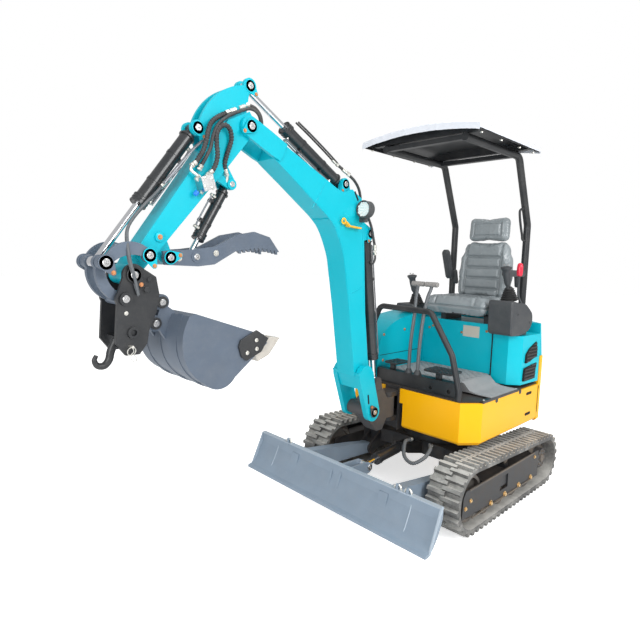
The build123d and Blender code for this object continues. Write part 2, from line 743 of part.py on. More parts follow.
# Seat
with BuildPart() as seat_rails:
    with BuildSketch(Plane.XY.offset(hood_top_z - 39)):
        for y in (seat_y - 170, seat_y + 170):
            plan_box(seat_front_x - seat_len + 40, seat_front_x - 150, y - 20, y + 20)
    extrude(amount=seat_top_z - 110 - hood_top_z + 39)
    with BuildSketch(Plane.XY.offset(seat_top_z - 110)):
        plan_box(seat_front_x - seat_len - 120, seat_front_x - 30, seat_y - 200, seat_y + 200)
    extrude(amount=20)
save(seat_rails.part, "seat_rails")

with BuildPart() as seat_cushion:
    with BuildSketch(Plane.XY.offset(seat_top_z - 89)):
        plan_box(seat_front_x - seat_len, seat_front_x, seat_y - seat_w / 2, seat_y + seat_w / 2)
    extrude(amount=89)
    fillet(seat_cushion.edges().filter_by(Axis.Z), 50)
save(seat_cushion.part, "seat_cushion")

back_foot = (seat_front_x - seat_len - 60, seat_top_z - 80)
back_head = (seat_front_x - seat_len - 96, seat_top_z + 400)
with BuildPart() as seat_back:
    with BuildSketch(axis_plane(back_foot, back_head, seat_y)):
        RectangleRounded(400, 96, 30)
    extrude(amount=span(back_foot, back_head))
    head_from = along(back_foot, back_head, span(back_foot, back_head) + 6)
    with BuildSketch(axis_plane(head_from, along(back_foot, back_head, 900), seat_y)):
        RectangleRounded(270, 95, 30)
    extrude(amount=190)
save(seat_back.part, "seat_back")

with BuildPart() as armrests:
    for y in (seat_y - 240, seat_y + 212):
        plate([(seat_front_x - seat_len - 80, seat_top_z + 160), (seat_front_x - 190, seat_top_z + 190),
               (seat_front_x - 190, seat_top_z + 220), (seat_front_x - seat_len - 100, seat_top_z + 205)], y, y + 28)
save(armrests.part, "armrests")

# Canopy frame: two bent posts that run forward under the roof
with BuildPart() as canopy_frame:
    for y in (-post_y, post_y):
        with BuildLine():
            FilletPolyline((knee_x, y, rear_hood_z[1] + 10), (knee_x, y, knee_z),
                           (post_top_x, y, beam_z), (beam_front_x, y, beam_z), radius=60)
        with BuildSketch(Plane(origin=(knee_x, y, rear_hood_z[1] + 10), z_dir=(0, 0, 1))):
            Circle(post_d / 2)
        sweep()
        with BuildSketch(Plane.XY.offset(rear_hood_z[1])):
            with Locations((knee_x, y)):
                Rectangle(110, 110)
        extrude(amount=12)
    for x in (post_top_x + 60, beam_front_x - 20):
        with BuildSketch(lateral(post_y)):
            with Locations((x, beam_z)):
                Rectangle(40, 30)
        extrude(amount=2 * post_y)
save(canopy_frame.part, "canopy_frame")

# Roof: a shell arched across the machine with a rim turned down
with BuildPart() as canopy_roof:
    roof_mid_x = (roof_x[0] + roof_x[1]) / 2
    with BuildSketch(Plane.YZ.offset(roof_x[0])):
        with BuildLine():
            half = roof_w / 2
            ThreePointArc((-half, roof_z), (0, roof_z + roof_rise), (half, roof_z))
            Line((half, roof_z), (half, roof_z - roof_rim))
            Line((half, roof_z - roof_rim), (half - roof_t, roof_z - roof_rim))
            Line((half - roof_t, roof_z - roof_rim), (half - roof_t, roof_z - roof_t))
            ThreePointArc((half - roof_t, roof_z - roof_t), (0, roof_z + roof_rise - roof_t),
                          (-half + roof_t, roof_z - roof_t))
            Line((-half + roof_t, roof_z - roof_t), (-half + roof_t, roof_z - roof_rim))
            Line((-half + roof_t, roof_z - roof_rim), (-half, roof_z - roof_rim))
            Line((-half, roof_z - roof_rim), (-half, roof_z))
        make_face()
    extrude(amount=roof_x[1] - roof_x[0])
    rib_z = beam_z + post_d / 2
    for x in (post_top_x + 60, beam_front_x - 20):
        with BuildSketch(Plane.YZ.offset(x - 20)):
            with BuildLine():
                Line((-half + 30, rib_z), (half - 30, rib_z))
                Line((half - 30, rib_z), (half - 30, roof_z - roof_t + 3))
                ThreePointArc((half - 30, roof_z - roof_t + 3), (0, roof_z + roof_rise - 3),
                              (-half + 30, roof_z - roof_t + 3))
                Line((-half + 30, roof_z - roof_t + 3), (-half + 30, rib_z))
            make_face()
        extrude(amount=40)
save(canopy_roof.part, "canopy_roof")

# Guard rail
with BuildPart() as guard_rail:
    rail_x = 432.0
    with BuildLine():
        FilletPolyline((rail_x, 384, deck_z), (rail_x, 384, 760), (rail_x, 324, 975), (rail_x, 160, 1226),
                       (rail_x, -240, 1232), (rail_x, -290, 1110), (rail_x, -290, deck_z), radius=50)
    with BuildSketch(Plane(origin=(rail_x, 384, deck_z), z_dir=(0, 0, 1))):
        Circle(19)
    sweep()
save(guard_rail.part, "guard_rail")

# Swing post: a casting hinged on the deck bracket, carrying the boom foot
knuckle_z = (lower_lug_z[1] + face_gap, upper_lug_z[0] - face_gap)
post_half_w = 46.0
with BuildPart() as swing_post:
    with BuildSketch(Plane.XY.offset(knuckle_z[0])):
        with Locations((swing_x, 0)):
            Circle(post_half_w + 2)
        with Locations((foot_pin[0] - 160, 0)):
            Rectangle(60, 2 * post_half_w)
        make_hull()
    extrude(amount=knuckle_z[1] - knuckle_z[0])
    boss(foot_pin, 44, -(foot_w / 2 - foot_ear_t - 3), foot_w / 2 - foot_ear_t - 3)
    plate([(foot_pin[0], foot_pin[1] + 42), (foot_pin[0], foot_pin[1] - 42), (foot_pin[0] - 120, 450),
           (foot_pin[0] - 175, 450), (swing_x + 60, knuckle_z[0]), (swing_x + 60, knuckle_z[1]),
           (post_pin[0] - 50, post_pin[1] - 50), (post_pin[0] + 40, post_pin[1] - 64)],
          -post_half_w, post_half_w)
    plate([(post_pin[0] - 90, post_pin[1]), (post_pin[0] - 90, knuckle_z[1]), (post_pin[0] + 60, knuckle_z[1]),
           (post_pin[0] + 60, post_pin[1])], -eye_w / 2 - 3, eye_w / 2 + 3, Mode.SUBTRACT)
    for y in (eye_w / 2 + 3, -eye_w / 2 - 21):
        bar(post_pin, (post_pin[0] - 6, post_pin[1] - 72), 30, 42, y, y + 18)
    with BuildSketch(Plane.XY.offset(knuckle_z[0] - 1)):
        with Locations((swing_x, 0)):
            Circle(swing_pin_r + pin_gap)
    extrude(amount=knuckle_z[1] - knuckle_z[0] + 2, mode=Mode.SUBTRACT)
    boss(foot_pin, pin_r, -foot_w / 2 - 8, foot_w / 2 + 8)
    with BuildSketch(Plane.XY.offset(swing_arm_z[0])):
        with Locations((swing_x + swing_arm[0], swing_arm[1])):
            Circle(28)
        with Locations((swing_x + 60, -20)):
            Circle(26)
        make_hull()
    extrude(amount=swing_arm_z[1] - swing_arm_z[0])
save(swing_post.part, "swing_post", boom_y)

# Boom
with BuildPart() as boom:
    with BuildSketch(lateral(boom_w / 2)):
        with BuildLine():
            Line((935, 848), (1006, 1252))
            Line((1006, 1252), (1061, 1518))
            Spline((1061, 1518), (1091, 1603), (1198, 1759), tangents=((0.2, 1), (1, 0.85)))
            Line((1198, 1759), (1598, 2016))
            Line((1598, 2016), (1564, 2105))
            Line((1564, 2105), (1141, 1924))
            Line((1141, 1924), (1090, 1912))
            Line((1090, 1912), (1019, 1935))
            Line((1019, 1935), (933, 1891))
            Line((933, 1891), (898, 1657))
            Line((898, 1657), (861, 1235))
            Line((861, 1235), (804, 848))
            Line((804, 848), (935, 848))
        make_face()
    extrude(amount=boom_w)
    for sy in (-1, 1):
        inner = boom_tip_gap / 2
        y0, y1 = sorted((sy * inner, sy * (inner + boom_tip_t)))
        with BuildSketch(lateral(y1)):
            with BuildLine():
                Polyline(along(arm_pivot, (1585, 2061), 0, 0), (1627, 2138), (1522, 2092), (1564, 2007),
                         (1627, 2029), close=True)
            make_face()
            with Locations(arm_pivot):
                Circle(48)
            make_hull()
        extrude(amount=y1 - y0)
        ear_y = sorted((sy * (eye_w / 2 + 3), sy * (eye_w / 2 + 21)))
        bar(arm_cyl_pin, (1050, 1897), 34, 50, ear_y[0], ear_y[1])
        bar(boom_cyl_pin, (903, 1708), 32, 60, ear_y[0], ear_y[1])
        foot_y = sorted((sy * foot_w / 2, sy * (foot_w / 2 - foot_ear_t)))
        bar(foot_pin, (870, 848), 58, 62, foot_y[0], foot_y[1])
    with BuildSketch(lateral(foot_w / 2)):
        with BuildLine():
            Polyline((939, 869), (805, 869), (779, 764), (893, 764), close=True)
        make_face()
    extrude(amount=foot_w)
    boss(arm_cyl_pin, pin_r, -eye_w / 2 - 24, eye_w / 2 + 24)
    boss(boom_cyl_pin, pin_r, -eye_w / 2 - 24, eye_w / 2 + 24)
    boss(arm_pivot, pin_r, -boom_tip_gap / 2 - boom_tip_t - 6, boom_tip_gap / 2 + boom_tip_t + 6)
    bore(foot_pin, pin_r + pin_gap, -foot_w, foot_w)
save(boom.part, "boom", boom_y)

with BuildPart() as work_lamp:
    lamp_at = (935.0, 1826.0)
    with BuildSketch(Plane(origin=(lamp_at[0], boom_w / 2 + 52, lamp_at[1]), z_dir=(1, 0, 0))):
        Circle(48)
    extrude(amount=40)
    with BuildSketch(lateral(boom_w / 2 + 40)):
        with Locations((lamp_at[0], lamp_at[1] - 50)):
            Rectangle(30, 40)
    extrude(amount=40)
save(work_lamp.part, "work_lamp", boom_y)

boom_barrel_len = 790.0
save(make_barrel(boom_cyl_pin, post_pin, boom_cyl, boom_barrel_len), "boom_barrel", boom_y)
save(make_rod(boom_cyl_pin, post_pin, boom_cyl, 300.0), "boom_rod", boom_y)
save(make_barrel(arm_cyl_pin, arm_rod_pin, arm_cyl, 490.0), "arm_barrel", boom_y)
save(make_rod(arm_cyl_pin, arm_rod_pin, arm_cyl, 250.0), "arm_rod", boom_y)

# Arm: local x runs from the pivot to the tip, local y to the outer side
arm_u = toward(arm_pivot, arm_tip)
arm_len = span(arm_pivot, arm_tip)
with BuildPart() as arm:
    def arm_at(s, n):
        """Side-view point at s along the arm and n to its outer side."""
        return along(arm_pivot, arm_tip, s, n)

    with BuildSketch(lateral(arm_w / 2)):
        with BuildLine():
            Polyline(arm_at(-40, -40), arm_at(193, -42), arm_at(700, -32), arm_at(arm_len, -27),
                     arm_at(arm_len, 30), arm_at(775, 46), arm_at(272, 87), arm_at(63, 92), arm_at(-60, 40),
                     close=True)
        make_face()
        with Locations(arm_pivot):
            Circle(52)
    extrude(amount=arm_w)
    boss(arm_tip, 42, -arm_tip_w / 2, arm_tip_w / 2)
    boss(rocker_pin, 32, -arm_tip_w / 2, arm_tip_w / 2)
    for sy in (-1, 1):
        y0, y1 = sorted((sy * (eye_w / 2 + 3), sy * (eye_w / 2 + 19)))
        with BuildSketch(lateral(y1)):
            with BuildLine():
                ThreePointArc(bucket_cyl_pin, (1900, 2259), arm_rod_pin)
                Line(arm_rod_pin, arm_at(-30, 30))
                Line(arm_at(-30, 30), arm_at(252, 74))
                Line(arm_at(252, 74), bucket_cyl_pin)
            make_face()
            with Locations(bucket_cyl_pin):
                Circle(34)
            with Locations(arm_rod_pin):
                Circle(36)
        extrude(amount=y1 - y0)
        bar(thumb_cyl_pin, arm_at(256, -20), 26, 50, y0, y1)
        bar(thumb_pin, arm_at(713, -20), 30, 44, y0, y1)
        boss(arm_rod_pin, pin_r, y0, y1)
    boss(bucket_cyl_pin, pin_r, -eye_w / 2 - 22, eye_w / 2 + 22)
    boss(thumb_cyl_pin, pin_r, -eye_w / 2 - 22, eye_w / 2 + 22)
    boss(thumb_pin, 30, -50, 50)
    bore(arm_pivot, pin_r + pin_gap, -arm_w, arm_w)
    bore(arm_tip, pin_r + pin_gap, -arm_w, arm_w)
    boss(rocker_pin, pin_r, -rocker_y - rocker_t - 6, rocker_y + rocker_t + 6)
    boss(thumb_pin, pin_r, -80, 80)
save(arm.part, "arm", boom_y)

with BuildPart() as valve_block:
    with BuildSketch(lateral(arm_w / 2 + 56)):
        with Locations((1994, 1847)):
            Rectangle(62, 62, rotation=-20)
    extrude(amount=56)
save(valve_block.part, "valve_block", boom_y)

save(make_barrel(bucket_cyl_pin, link_joint, bucket_cyl, 430.0), "bucket_barrel", boom_y)
save(make_rod(bucket_cyl_pin, link_joint, bucket_cyl, 278.0), "bucket_rod", boom_y)
save(make_barrel(thumb_cyl_pin, thumb_rod_pin, thumb_cyl, 300.0), "thumb_barrel", boom_y)
save(make_rod(thumb_cyl_pin, thumb_rod_pin, thumb_cyl, 150.0), "thumb_rod", boom_y)

# Rocker links: a curved pair outside the arm
with BuildPart() as rocker_links:
    for sy in (-1, 1):
        y0, y1 = sorted((sy * rocker_y, sy * (rocker_y + rocker_t)))
        with BuildSketch(lateral(y1)):
            with BuildLine():
                ThreePointArc(along(rocker_pin, link_joint, 0, 28), along(rocker_pin, link_joint, 85, 66),
                              along(rocker_pin, link_joint, 170, 28))
                Line(along(rocker_pin, link_joint, 170, 28), along(rocker_pin, link_joint, 170, -20))
                ThreePointArc(along(rocker_pin, link_joint, 170, -20), along(rocker_pin, link_joint, 85, 14),
                              along(rocker_pin, link_joint, 0, -20))
                Line(along(rocker_pin, link_joint, 0, -20), along(rocker_pin, link_joint, 0, 28))
            make_face()
            with Locations(rocker_pin, link_joint):
                Circle(link_eye_r)
        extrude(amount=y1 - y0)
        boss(link_joint, 26, sy * (link_y + link_t + 3), sy * (rocker_y + rocker_t + 6))
        bore(rocker_pin, pin_r + pin_gap, y0 - 1, y1 + 1)
save(rocker_links.part, "rocker_links", boom_y)

# Connecting link: two curved plates and a cross tube at the hitch
with BuildPart() as connecting_link:
    for sy in (-1, 1):
        y0, y1 = sorted((sy * link_y, sy * (link_y + link_t)))
        with BuildSketch(lateral(y1)):
            with BuildLine():
                ThreePointArc(along(hitch_pin, link_joint, 0, -26), along(hitch_pin, link_joint, 79, -52),
                              along(hitch_pin, link_joint, 158, -26))
                Line(along(hitch_pin, link_joint, 158, -26), along(hitch_pin, link_joint, 158, 16))
                ThreePointArc(along(hitch_pin, link_joint, 158, 16), along(hitch_pin, link_joint, 79, -12),
                              along(hitch_pin, link_joint, 0, 16))
                Line(along(hitch_pin, link_joint, 0, 16), along(hitch_pin, link_joint, 0, -26))
            make_face()
            with Locations(hitch_pin, link_joint):
                Circle(29)
        extrude(amount=y1 - y0)
    boss(hitch_pin, 29, -link_y - link_t, link_y + link_t)
    bore(hitch_pin, pin_r + pin_gap, -link_y - link_t - 1, link_y + link_t + 1)
save(connecting_link.part, "connecting_link", boom_y)

# Quick hitch: two plates with both pins, jaws on the bucket's pins and a lifting hook
hitch_out = hitch_plate_y + hitch_plate_t
with BuildPart() as quick_hitch:
    for sy in (-1, 1):
        y0, y1 = sorted((sy * hitch_plate_y, sy * hitch_out))
        with BuildSketch(lateral(y1)):
            with BuildLine():
                Polyline((arm_tip[0] - 30, arm_tip[1] + 32), (2219, 1443), (2204, 1372), (2217, 1299),
                         (2248, 1226), (2256, 1173), (2288, 1131), (2346, 1131), (2388, 1184), (2382, 1320),
                         (hitch_pin[0] + 30, hitch_pin[1] + 20), (arm_tip[0] + 36, arm_tip[1] + 14),
                         close=True)
            make_face()
            with Locations(arm_tip):
                Circle(44)
            with Locations(hitch_pin):
                Circle(38)
        extrude(amount=y1 - y0)
    plate([(2256, 1163), (2298, 1142), (2361, 1173), (2361, 1199), (2267, 1199)], -hitch_plate_y, hitch_plate_y)
    boss(arm_tip, pin_r, -hitch_out - 6, hitch_out + 6)
    boss(hitch_pin, pin_r, -hitch_out - 6, hitch_out + 6)
save(quick_hitch.part, "quick_hitch", boom_y)

# Bucket: a rolled shell between side plates, with ears, lip, teeth and side cutters
with BuildPart() as bucket:
    def bucket_profile():
        """Side outline of the bucket, from the mouth's top round the back to the lip."""
        with BuildLine() as outline:
            Line((2103, 1297), (2131, 1288))
            ThreePointArc((2131, 1288), (2157, 1131), (2052, 995))
            ThreePointArc((2052, 995), (1973, 963), (1900, 1005))
            Line((1900, 1005), (1721, 1142))
            Line((1721, 1142), (1769, 1189))
            Line((1769, 1189), (2103, 1297))
        make_face(outline.edges())

    with BuildSketch(lateral(bucket_w / 2)):
        bucket_profile()
    extrude(amount=bucket_w)
    with BuildSketch(lateral(bucket_w / 2 - bucket_side_t)):
        with BuildLine():
            Line((2089, 1320), (2115, 1278))
            ThreePointArc((2115, 1278), (2141, 1131), (2047, 1009))
            ThreePointArc((2047, 1009), (1973, 978), (1906, 1018))
            Line((1906, 1018), (1711, 1168))
            Line((1711, 1168), (1763, 1226))
            Line((1763, 1226), (2089, 1320))
        make_face()
    extrude(amount=bucket_w - 2 * bucket_side_t, mode=Mode.SUBTRACT)
    for sy in (-1, 1):
        y0, y1 = sorted((sy * 40.0, sy * 60.0))
        with BuildSketch(lateral(y1)):
            with BuildLine():
                Polyline(bucket_pin_a, bucket_pin_b, (2152, 1163), (2110, 1288), close=True)
            make_face()
            with Locations(bucket_pin_a, bucket_pin_b):
                Circle(34)
        extrude(amount=y1 - y0)
    boss(bucket_pin_a, pin_r, -66, 66)
    boss(bucket_pin_b, pin_r, -66, 66)
    for k in range(4):
        y = (k - 1.5) * (bucket_w - 60) / 3
        plate([(1784, 1100), (1664, 1165), (1732, 1148), (1791, 1121)], y - 22, y + 22)
save(bucket.part, "bucket", boom_y)

# Thumb: two curved toothed plates with cross bars
with BuildPart() as thumb:
    for sy in (-1, 1):
        y0, y1 = sorted((sy * 56.0, sy * 72.0))
        with BuildSketch(lateral(y1)):
            with BuildLine():
                Polyline((2183, 1549), (2026, 1563), (1931, 1577), (1816, 1635), (1711, 1656), (1617, 1635),
                         thumb_tip, (1585, 1572), (1690, 1582), (1816, 1561), (1931, 1498), (2015, 1488),
                         (2173, 1492), close=True)
            make_face()
            with Locations(thumb_pin, thumb_rod_pin):
                Circle(30)
        extrude(amount=y1 - y0)
        bore(thumb_pin, pin_r + pin_gap, y0 - 1, y1 + 1)
        boss(thumb_rod_pin, pin_r, sy * (eye_w / 2 + 4), y1)
    for x, z in ((1900.0, 1561.0), (1732.0, 1614.0)):
        boss((x, z), 14, -56, 56)
save(thumb.part, "thumb", boom_y)


# Swing cylinder below the deck: built in plan
swing_rod_pin = (swing_x + swing_arm[0], boom_y + swing_arm[1])
swing_reach = span(swing_base_pin, swing_rod_pin)
swing_cyl_z = swing_arm_z[1] + 2 + eye_w / 2
swing_u = toward(swing_base_pin, swing_rod_pin)
swing_start = Plane(origin=(swing_base_pin[0], swing_base_pin[1], swing_cyl_z), x_dir=(0, 0, 1),
                    z_dir=(swing_u[0], swing_u[1], 0))
swing_barrel_len = 310.0


def upright_eye(point, radius, hole):
    """Cylinder eye with a vertical axis and a bore of the radius hole, if any."""
    with BuildSketch(Plane.XY.offset(swing_cyl_z - eye_w / 2)) as ring:
        with Locations(point):
            Circle(radius)
            if hole:
                Circle(hole, mode=Mode.SUBTRACT)
    extrude(ring.sketch, amount=eye_w)


with BuildPart() as swing_barrel:
    with BuildSketch(swing_start.offset(pin_r + 6)):
        Circle(swing_cyl[0] * 0.65)
    extrude(amount=30)
    with BuildSketch(swing_start.offset(42)):
        Circle(swing_cyl[0])
    extrude(amount=swing_barrel_len - 42)
    with BuildSketch(swing_start.offset(60)):
        Circle(swing_cyl[0] - cyl_wall)
    extrude(amount=swing_barrel_len - 90, mode=Mode.SUBTRACT)
    with BuildSketch(swing_start.offset(swing_barrel_len - 40)):
        Circle(swing_cyl[1] + 2 * pin_gap)
    extrude(amount=50, mode=Mode.SUBTRACT)
    upright_eye(swing_base_pin, 26, pin_r + pin_gap)
save(swing_barrel.part, "swing_barrel")

with BuildPart() as swing_rod:
    with BuildSketch(swing_start.offset(190)):
        Circle(swing_cyl[1])
    extrude(amount=swing_reach - 190)
    upright_eye(swing_rod_pin, 26, 0.0)
save(swing_rod.part, "swing_rod")
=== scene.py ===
"""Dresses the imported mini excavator: paint, rubber, hoses, fasteners, upholstery and studio."""

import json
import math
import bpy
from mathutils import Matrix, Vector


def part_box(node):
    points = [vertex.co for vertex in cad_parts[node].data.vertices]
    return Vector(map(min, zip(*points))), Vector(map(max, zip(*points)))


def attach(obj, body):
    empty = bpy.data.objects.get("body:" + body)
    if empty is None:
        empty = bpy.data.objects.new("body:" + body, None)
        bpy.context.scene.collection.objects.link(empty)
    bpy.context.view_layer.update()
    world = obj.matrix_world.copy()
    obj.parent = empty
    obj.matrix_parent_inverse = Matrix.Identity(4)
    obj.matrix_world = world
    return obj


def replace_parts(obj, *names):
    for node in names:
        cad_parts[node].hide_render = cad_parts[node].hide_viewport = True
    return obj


bl_info = {
    "name": "Mini Excavator Finish",
    "version": (1, 0, 0),
    "blender": (4, 5, 0),
    "location": "View3D > Sidebar > Excavator",
    "description": "Paint, hoses, fasteners, upholstery and studio for the mini excavator",
    "category": "Object",
}

import bmesh
import bpy
import numpy as np
from mathutils import Matrix

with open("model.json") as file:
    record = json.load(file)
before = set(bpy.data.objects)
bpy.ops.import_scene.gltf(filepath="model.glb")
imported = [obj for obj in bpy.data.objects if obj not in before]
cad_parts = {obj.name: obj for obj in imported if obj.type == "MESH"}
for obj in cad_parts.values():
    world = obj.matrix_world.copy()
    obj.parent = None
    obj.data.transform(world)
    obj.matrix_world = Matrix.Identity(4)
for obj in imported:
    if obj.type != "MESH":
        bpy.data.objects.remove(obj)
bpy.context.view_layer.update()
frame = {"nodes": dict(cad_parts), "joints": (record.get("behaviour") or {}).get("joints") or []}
NODES = frame["nodes"]
JOINTS = {joint["name"]: joint for joint in frame["joints"]}
TAU = 2.0 * math.pi
LEFT = np.array([0.0, 1.0, 0.0])
UP = np.array([0.0, 0.0, 1.0])
FORWARD = np.array([1.0, 0.0, 0.0])
SIDES = (-1, 1)
# Share or length taken as none, reach within which points merge, and the sharpest smooth edge in degrees
TINY = 1e-9
MERGE = 1e-6
SMOOTH = 35.0


# Places on the machine, in metres

def pivot(name):
    """Pivot of a joint as an array."""
    return np.array(JOINTS[name]["pos_m"], float)


def high(node):
    """Highest corner of a solid's box."""
    return np.array(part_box(node)[1])


SLEW_X = pivot("slew")[0]
BOOM_Y = pivot("boom")[1]


def at(x, y, z):
    """Point given from the ground under the slewing axis."""
    return np.array([SLEW_X + x, y, z])


def route(y, *places):
    """Points in the upright plane y from (x, z) pairs, x from the slewing axis."""
    return np.array([at(x, y, z) for x, z in places])


# Mesh arrays

def unit(vector):
    """Vector scaled to a length of one."""
    vector = np.asarray(vector, float)
    return vector / np.linalg.norm(vector)


def frame_of(axis):
    """Two unit vectors at right angles to an axis and to each other."""
    axis = unit(axis)
    helper = UP if abs(axis[2]) < 0.9 else FORWARD
    first = unit(np.cross(helper, axis))
    return first, np.cross(axis, first)


def grid_faces(rows, columns, wrap_columns=True, wrap_rows=False):
    """Quads of a grid of points whose index is row * columns + column."""
    r = np.arange(rows if wrap_rows else rows - 1)
    c = np.arange(columns if wrap_columns else columns - 1)
    r, c = np.meshgrid(r, c, indexing="ij")
    r2, c2 = (r + 1) % rows, (c + 1) % columns
    quads = np.stack([r * columns + c, r * columns + c2, r2 * columns + c2, r2 * columns + c], axis=-1)
    return quads.reshape(-1, 4)


def turned(profile, start, axis, sides=24):
    """Surface of revolution: point = start + axis * s + radius * (first * cos a + second * sin a),
    for each (s, radius) of the profile and each angle a. A radius of zero closes an end."""
    profile = np.asarray(profile, float)
    first, second = frame_of(axis)
    angle = np.arange(sides) * TAU / sides
    ring = np.cos(angle)[:, None] * first + np.sin(angle)[:, None] * second
    points = (np.asarray(start, float) + profile[:, :1, None] * unit(axis)
              + profile[:, 1, None, None] * ring)
    return points.reshape(-1, 3), grid_faces(len(profile), sides)


def smooth_path(corners, count):
    """Catmull-Rom path: between two corners the point is the cubic whose slope at each corner is half
    the step between its neighbours."""
    p = np.asarray(corners, float)
    p = np.vstack([2 * p[0] - p[1], p, 2 * p[-1] - p[-2]])
    t = np.linspace(0.0, len(corners) - 1 - TINY, count)
    i = t.astype(int)
    u = (t - i)[:, None]
    a, b, c, d = p[i], p[i + 1], p[i + 2], p[i + 3]
    return 0.5 * (2 * b + (c - a) * u + (2 * a - 5 * b + 4 * c - d) * u ** 2
                  + (3 * b - a - 3 * c + d) * u ** 3)


def path_frames(path):
    """Side vectors carried along a path without twist."""
    step = np.gradient(path, axis=0)
    step /= np.linalg.norm(step, axis=1)[:, None]
    side = np.zeros_like(path)
    side[0] = frame_of(step[0])[0]
    for k in range(1, len(path)):
        carried = side[k - 1] - step[k] * np.dot(side[k - 1], step[k])
        side[k] = carried / np.linalg.norm(carried)
    return side, np.cross(step, side)


def tube(path, radius, sides=12, closed_ends=True):
    """Circle carried along a path: point = path + radius * (side * cos a + up * sin a); the radius may
    be one number or one for each row and column of the tube."""
    path = np.asarray(path, float)
    side, up = path_frames(path)
    angle = np.arange(sides)[:, None] * TAU / sides
    size = np.broadcast_to(radius, (len(path), sides))[..., None]
    ring = np.cos(angle) * side[:, None] + np.sin(angle) * up[:, None]
    points = (path[:, None] + size * ring).reshape(-1, 3)
    faces = [tuple(f) for f in grid_faces(len(path), sides)]
    if closed_ends:
        last = (len(path) - 1) * sides
        faces.append(tuple(range(sides))[::-1])
        faces.append(tuple(range(last, last + sides)))
    return points, faces


def closed_ring(centre, first, second, thickness, sides, steps):
    """Ring: a tube along centre + first * cos a + second * sin a, its ends overlapping."""
    angle = np.linspace(0, TAU, steps, endpoint=False)[:, None]
    loop = centre + np.cos(angle) * first + np.sin(angle) * second
    return tube(np.vstack([loop, loop[:2]]), thickness, sides, closed_ends=False)


def wrapped_tube(path, radius, pitch=0.013, depth=0.0032, sides=14, rows_per_metre=900):
    """Hose in a spiral guard: the radius is radius + depth * |sin(pi * length / pitch + angle / 2)|."""
    path = np.asarray(path, float)
    length = np.concatenate([[0.0], np.cumsum(np.linalg.norm(np.diff(path, axis=0), axis=1))])
    rows = max(8, int(length[-1] * rows_per_metre))
    s = np.linspace(0.0, length[-1], rows)
    fine = np.stack([np.interp(s, length, path[:, k]) for k in range(3)], axis=1)
    angle = np.arange(sides) * TAU / sides
    size = radius + depth * np.abs(np.sin(math.pi * s[:, None] / pitch + angle[None] / 2))
    return tube(fine, size, sides)


def slab(outline, depth, origin, across, along, up, bevel=0.0):
    """Flat plate: point = origin + along * a + up * b for each (a, b) of the outline, thickened by depth
    in the direction across; a bevel draws the outer faces in."""
    across, along, up = unit(across), unit(along), unit(up)
    flat = np.asarray(outline, float)
    centre = flat.mean(axis=0)
    layers = [(0.0, 0.0), (depth, 0.0)]
    if bevel:
        layers = [(0.0, bevel), (bevel, 0.0), (depth - bevel, 0.0), (depth, bevel)]
    reach = np.linalg.norm(flat - centre, axis=1)[:, None]
    rows = []
    for height, inset in layers:
        drawn = centre + (flat - centre) * (1.0 - inset / np.maximum(reach, MERGE))
        rows.append(np.asarray(origin) + drawn[:, :1] * along + drawn[:, 1:] * up + across * height)
    count = len(flat)
    faces = [tuple(f) for f in grid_faces(len(layers), count)]
    faces.append(tuple(range(count))[::-1])
    faces.append(tuple(range((len(layers) - 1) * count, len(layers) * count)))
    return np.vstack(rows), faces


def side_slab(outline, y, depth, bevel=0.001):
    """Upright plate whose outline is (x, z) pairs from the slewing axis, from y outwards by depth."""
    return slab(outline, abs(depth), at(0.0, y, 0.0), math.copysign(1, depth) * LEFT, FORWARD, UP, bevel)


def level_slab(outline, z, depth, bevel=0.001):
    """Level plate whose outline is (x, y) pairs from the slewing axis, from z upwards by depth."""
    return slab(outline, depth, at(0.0, 0.0, z), UP, FORWARD, LEFT, bevel)


def block(lowest, highest, bevel=0.002):
    """Box between two corners given from the slewing axis, its edges drawn in."""
    (x0, y0, z0), (x1, y1, z1) = lowest, highest
    return level_slab([(x0, y0), (x1, y0), (x1, y1), (x0, y1)], z0, z1 - z0, bevel)


def turned_flat(points, turn):
    """Flat points turned about their origin."""
    c, s = math.cos(turn), math.sin(turn)
    return np.asarray(points) @ np.array([[c, s], [-s, c]])


def teardrop(big, small, reach, turn, steps=9):
    """Outline of a retainer plate: a round end of the radius big, and one of the radius small at the
    distance reach in the direction turn."""
    lean = math.acos((big - small) / reach)
    wide = np.linspace(lean, TAU - lean, 2 * steps)
    narrow = np.linspace(-lean, lean, steps)
    return turned_flat(np.concatenate([
        np.stack([big * np.cos(wide), big * np.sin(wide)], axis=1),
        np.stack([reach + small * np.cos(narrow), small * np.sin(narrow)], axis=1)]), turn)


def hex_bolt(place, axis, radius):
    """Hexagon head with a chamfered top, on its washer."""
    r = radius
    washer = turned([(0, 0), (0, 1.4 * r), (0.18 * r, 1.4 * r), (0.2 * r, 0)], place, axis, 18)
    head = turned([(0.15 * r, 0), (0.15 * r, r), (0.7 * r, r), (0.82 * r, 0.84 * r), (0.82 * r, 0)],
                  place, axis, 6)
    return washer, head


def round_bolt(place, axis, radius):
    """Domed head with a socket."""
    r = radius
    return (turned([(0, 0), (0, r), (0.35 * r, r), (0.6 * r, 0.72 * r), (0.64 * r, 0.4 * r),
                    (0.3 * r, 0.34 * r), (0.3 * r, 0)], place, axis, 16),)


def pin_head(place, axis, radius, height):
    """Turned pin end with a chamfered rim, a dished face and a grease fitting."""
    r, h = radius, height
    return (turned([(0, 0), (0, r), (h - 0.002, r), (h, r - 0.002), (h, 0.5 * r), (h - 0.0015, 0.44 * r),
                    (h - 0.0015, 0.2 * r), (h + 0.004, 0.18 * r), (h + 0.006, 0.1 * r), (h + 0.006, 0)],
                   place, axis, 28),)


